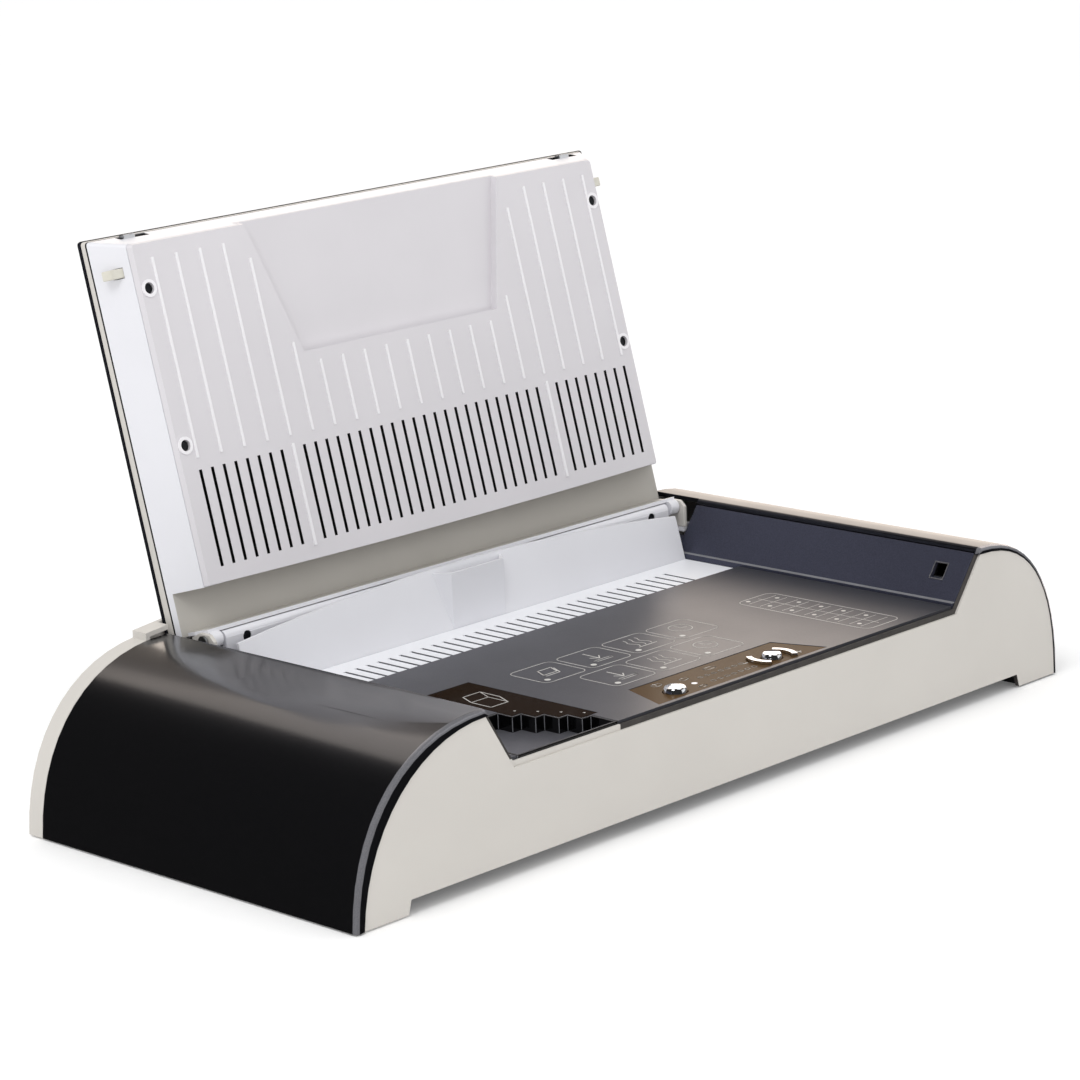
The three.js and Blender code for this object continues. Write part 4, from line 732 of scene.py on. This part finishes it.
def deck_marks(bm):
    for row, (count, first, y) in enumerate(TILE_ROWS):
        for i in range(count):
            x = first + i * TILE_PITCH
            path(bm, rounded(x, y, *TILE), PLAIN, True)
            MOTIFS[(i + row) % len(MOTIFS)](bm, x + MOTIF_X, y + MOTIF_Y, MOTIF_SIZE)
            dot(bm, x + TILE_DOT_X, y + TILE_DOT_Y, TILE_DOT)
    path(bm, rounded(*CHART), PLAIN, True)
    for i in range(CHART_ROWS):
        y = CHART_FIRST + i * CHART_PITCH
        stroke(bm, (CHART_MIDDLE - CHART_HALF_LINE, y), (CHART_MIDDLE + CHART_HALF_LINE, y),
               HAIRLINE)
        side = 1 if i % 2 else -1
        dot(bm, CHART_MIDDLE + side * CHART_DOT_X, y + CHART_PITCH / 2, CHART_DOT)
    stroke(bm, (CHART_MIDDLE, CHART_FROM), (CHART_MIDDLE, CHART_TO), HAIRLINE)


marks("deck_print", DECK_TOP, deck_marks)

LENS_TOP = 56.8
# Level marks in two rows
LEVEL_X, LEVEL_Y = -3, 12.5
LEVELS, LEVEL_PITCH, LEVEL_ROW_PITCH = 7, 5.2, 9
LEVEL_MARK, LEVEL_STEPS = (1.4, 1.1, 1), 3
# Ovals by the buttons: x, y, half width, half height, corner radius
CONTROL_OVALS = (
    (-26.6, 29.8, 3, 1.8, 1.7), (-10.4, 26.1, 2.6, 1.6, 1.5),
    (12.6, 29.3, 4, 1.6, 1.5), (-13.4, 10.2, 2.4, 1.2, 1.1))
POWER_STROKE = ((-26.6, 29.8), (-26.6, 32.4))
# A minus and a plus
SIGN_STROKES = (
    ((28.5, 20), (31.5, 20)), ((61, 12), (64, 12)), ((62.5, 10.5), (62.5, 13.5)))
LAMP_X, LAMP_Y, LAMP_RADIUS, LAMP_SIDES = -12.5, 16.9, 1.6, 20


def control_marks(bm):
    for row in range(2):
        for i in range(LEVELS):
            x, y = LEVEL_X + i * LEVEL_PITCH, LEVEL_Y + row * LEVEL_ROW_PITCH
            path(bm, rounded(x, y, *LEVEL_MARK, LEVEL_STEPS), FINE, True)
    for oval in CONTROL_OVALS:
        path(bm, rounded(*oval), FINE, True)
    stroke(bm, *POWER_STROKE, MEDIUM)
    for ends in SIGN_STROKES:
        stroke(bm, *ends, BOLD)


def lamp_mark(bm):
    dot(bm, LAMP_X, LAMP_Y, LAMP_RADIUS, LAMP_SIDES)


marks("control_print", LENS_TOP, control_marks)
marks("lit_lamp", LENS_TOP, lamp_mark, LIT)

# A box beside the gauge, and a triangle at each stair
BOX_OUTLINE = [(-104, 70), (-92, 70), (-88, 80), (-88, 94), (-100, 94), (-104, 84)]
BOX_EDGES = [(-104, 84), (-92, 84), (-88, 94)]
BOX_UPRIGHT = ((-92, 84), (-92, 70))
STAIRS, STAIR_X, STAIR_Y = 4, -101.5, 56
STAIR_RUN, STAIR_FALL = 6.1, 10
STAIR_MARK, STAIR_MARK_SIDES = 0.9, 3


def gauge_marks(bm):
    path(bm, BOX_OUTLINE, MEDIUM, True)
    path(bm, BOX_EDGES, FINE)
    stroke(bm, *BOX_UPRIGHT, FINE)
    for i in range(STAIRS):
        dot(bm, STAIR_X + STAIR_RUN * i, STAIR_Y - STAIR_FALL * i, STAIR_MARK, STAIR_MARK_SIDES)


marks("gauge_print", DECK_TOP, gauge_marks)


# Studio, in metres and watts: a pale floor, a white surround, a soft key from the upper left, and
# cards that light nothing and are only seen as reflections

FLOOR_HALF = 30
PAPER_GLOW = 0.1
SURROUND_LIGHT = 0.92
SURROUND_MIRRORED = 0.03
MACHINE = (0, 0, 0.1)
LEFT_CROWN = (-0.2, 0, 0.1)
WHITE = "#ffffff"


def lamp(name, place, target, size, power, tone=WHITE, card=True, roll=0):
    """Rectangular lamp facing its target, rolled about its beam by so many degrees."""
    data = bpy.data.lights.new(name, "AREA")
    data.shape = "RECTANGLE"
    data.size, data.size_y = size
    data.energy = power
    data.color = colour(tone)[:3]
    thing = bpy.data.objects.new(name, data)
    scene.collection.objects.link(thing)
    thing.location = place
    facing = (Vector(target) - Vector(place)).to_track_quat("-Z", "Y").to_matrix()
    thing.rotation_euler = (facing @ Matrix.Rotation(math.radians(roll), 3, "Z")).to_euler()
    thing.visible_camera = False
    thing.visible_diffuse = not card


def lay_floor():
    bm = bmesh.new()
    bmesh.ops.create_grid(bm, x_segments=1, y_segments=1, size=FLOOR_HALF)
    mesh = bpy.data.meshes.new("floor")
    bm.to_mesh(mesh)
    bm.free()
    floor = bpy.data.objects.new("floor", mesh)
    scene.collection.objects.link(floor)
    # Even matt white that keeps the shadow soft and the background pure white
    paper = moulded("white_studio_paper", "#fbfbfb", "#fdfdfd",
                    roughness=0.9, grain=2, depth=0.02, specular=0)
    paper.node_tree.nodes["Principled BSDF"].inputs["Emission Strength"].default_value = PAPER_GLOW
    mesh.materials.append(paper)
    floor.visible_glossy = False


def light_surround():
    """White surround that lights the machine fully but is hardly mirrored in it."""
    world = bpy.data.worlds.new("studio")
    world.use_nodes = True
    scene.world = world
    rays = add(world.node_tree, "LightPath")
    glow = add(world.node_tree, "MapRange", {
        "Value": (rays, "Is Glossy Ray"), "To Min": SURROUND_LIGHT, "To Max": SURROUND_MIRRORED})
    surround = world.node_tree.nodes["Background"]
    surround.inputs["Color"].default_value = colour(WHITE)
    world.node_tree.links.new(glow.outputs["Result"], surround.inputs["Strength"])


lay_floor()
lamp("key", (-1.5, -0.5, 2.1), MACHINE, size=(1.0, 1.0), power=14, card=False)
lamp("warm_card", (2.65, 1.41, 0.65), MACHINE, size=(3.4, 2.9), power=78, tone="#fff1e3")
lamp("high_card", (0.37, 2.6, 3.18), LEFT_CROWN, size=(1.45, 1.3), power=9, tone="#fff4ea",
     roll=-25)
lamp("rear_card", (0.83, 2.6, 1.96), LEFT_CROWN, size=(1.45, 1.5), power=2.2, tone="#ffeedd",
     roll=-25)
lamp("front_card", (2.2, -2.2, 0.9), MACHINE, size=(3.0, 1.6), power=14)
lamp("top_card", (0.7, -0.9, 2.4), MACHINE, size=(1.4, 1.4), power=16)
light_surround()
scene.view_settings.view_transform = "Standard"
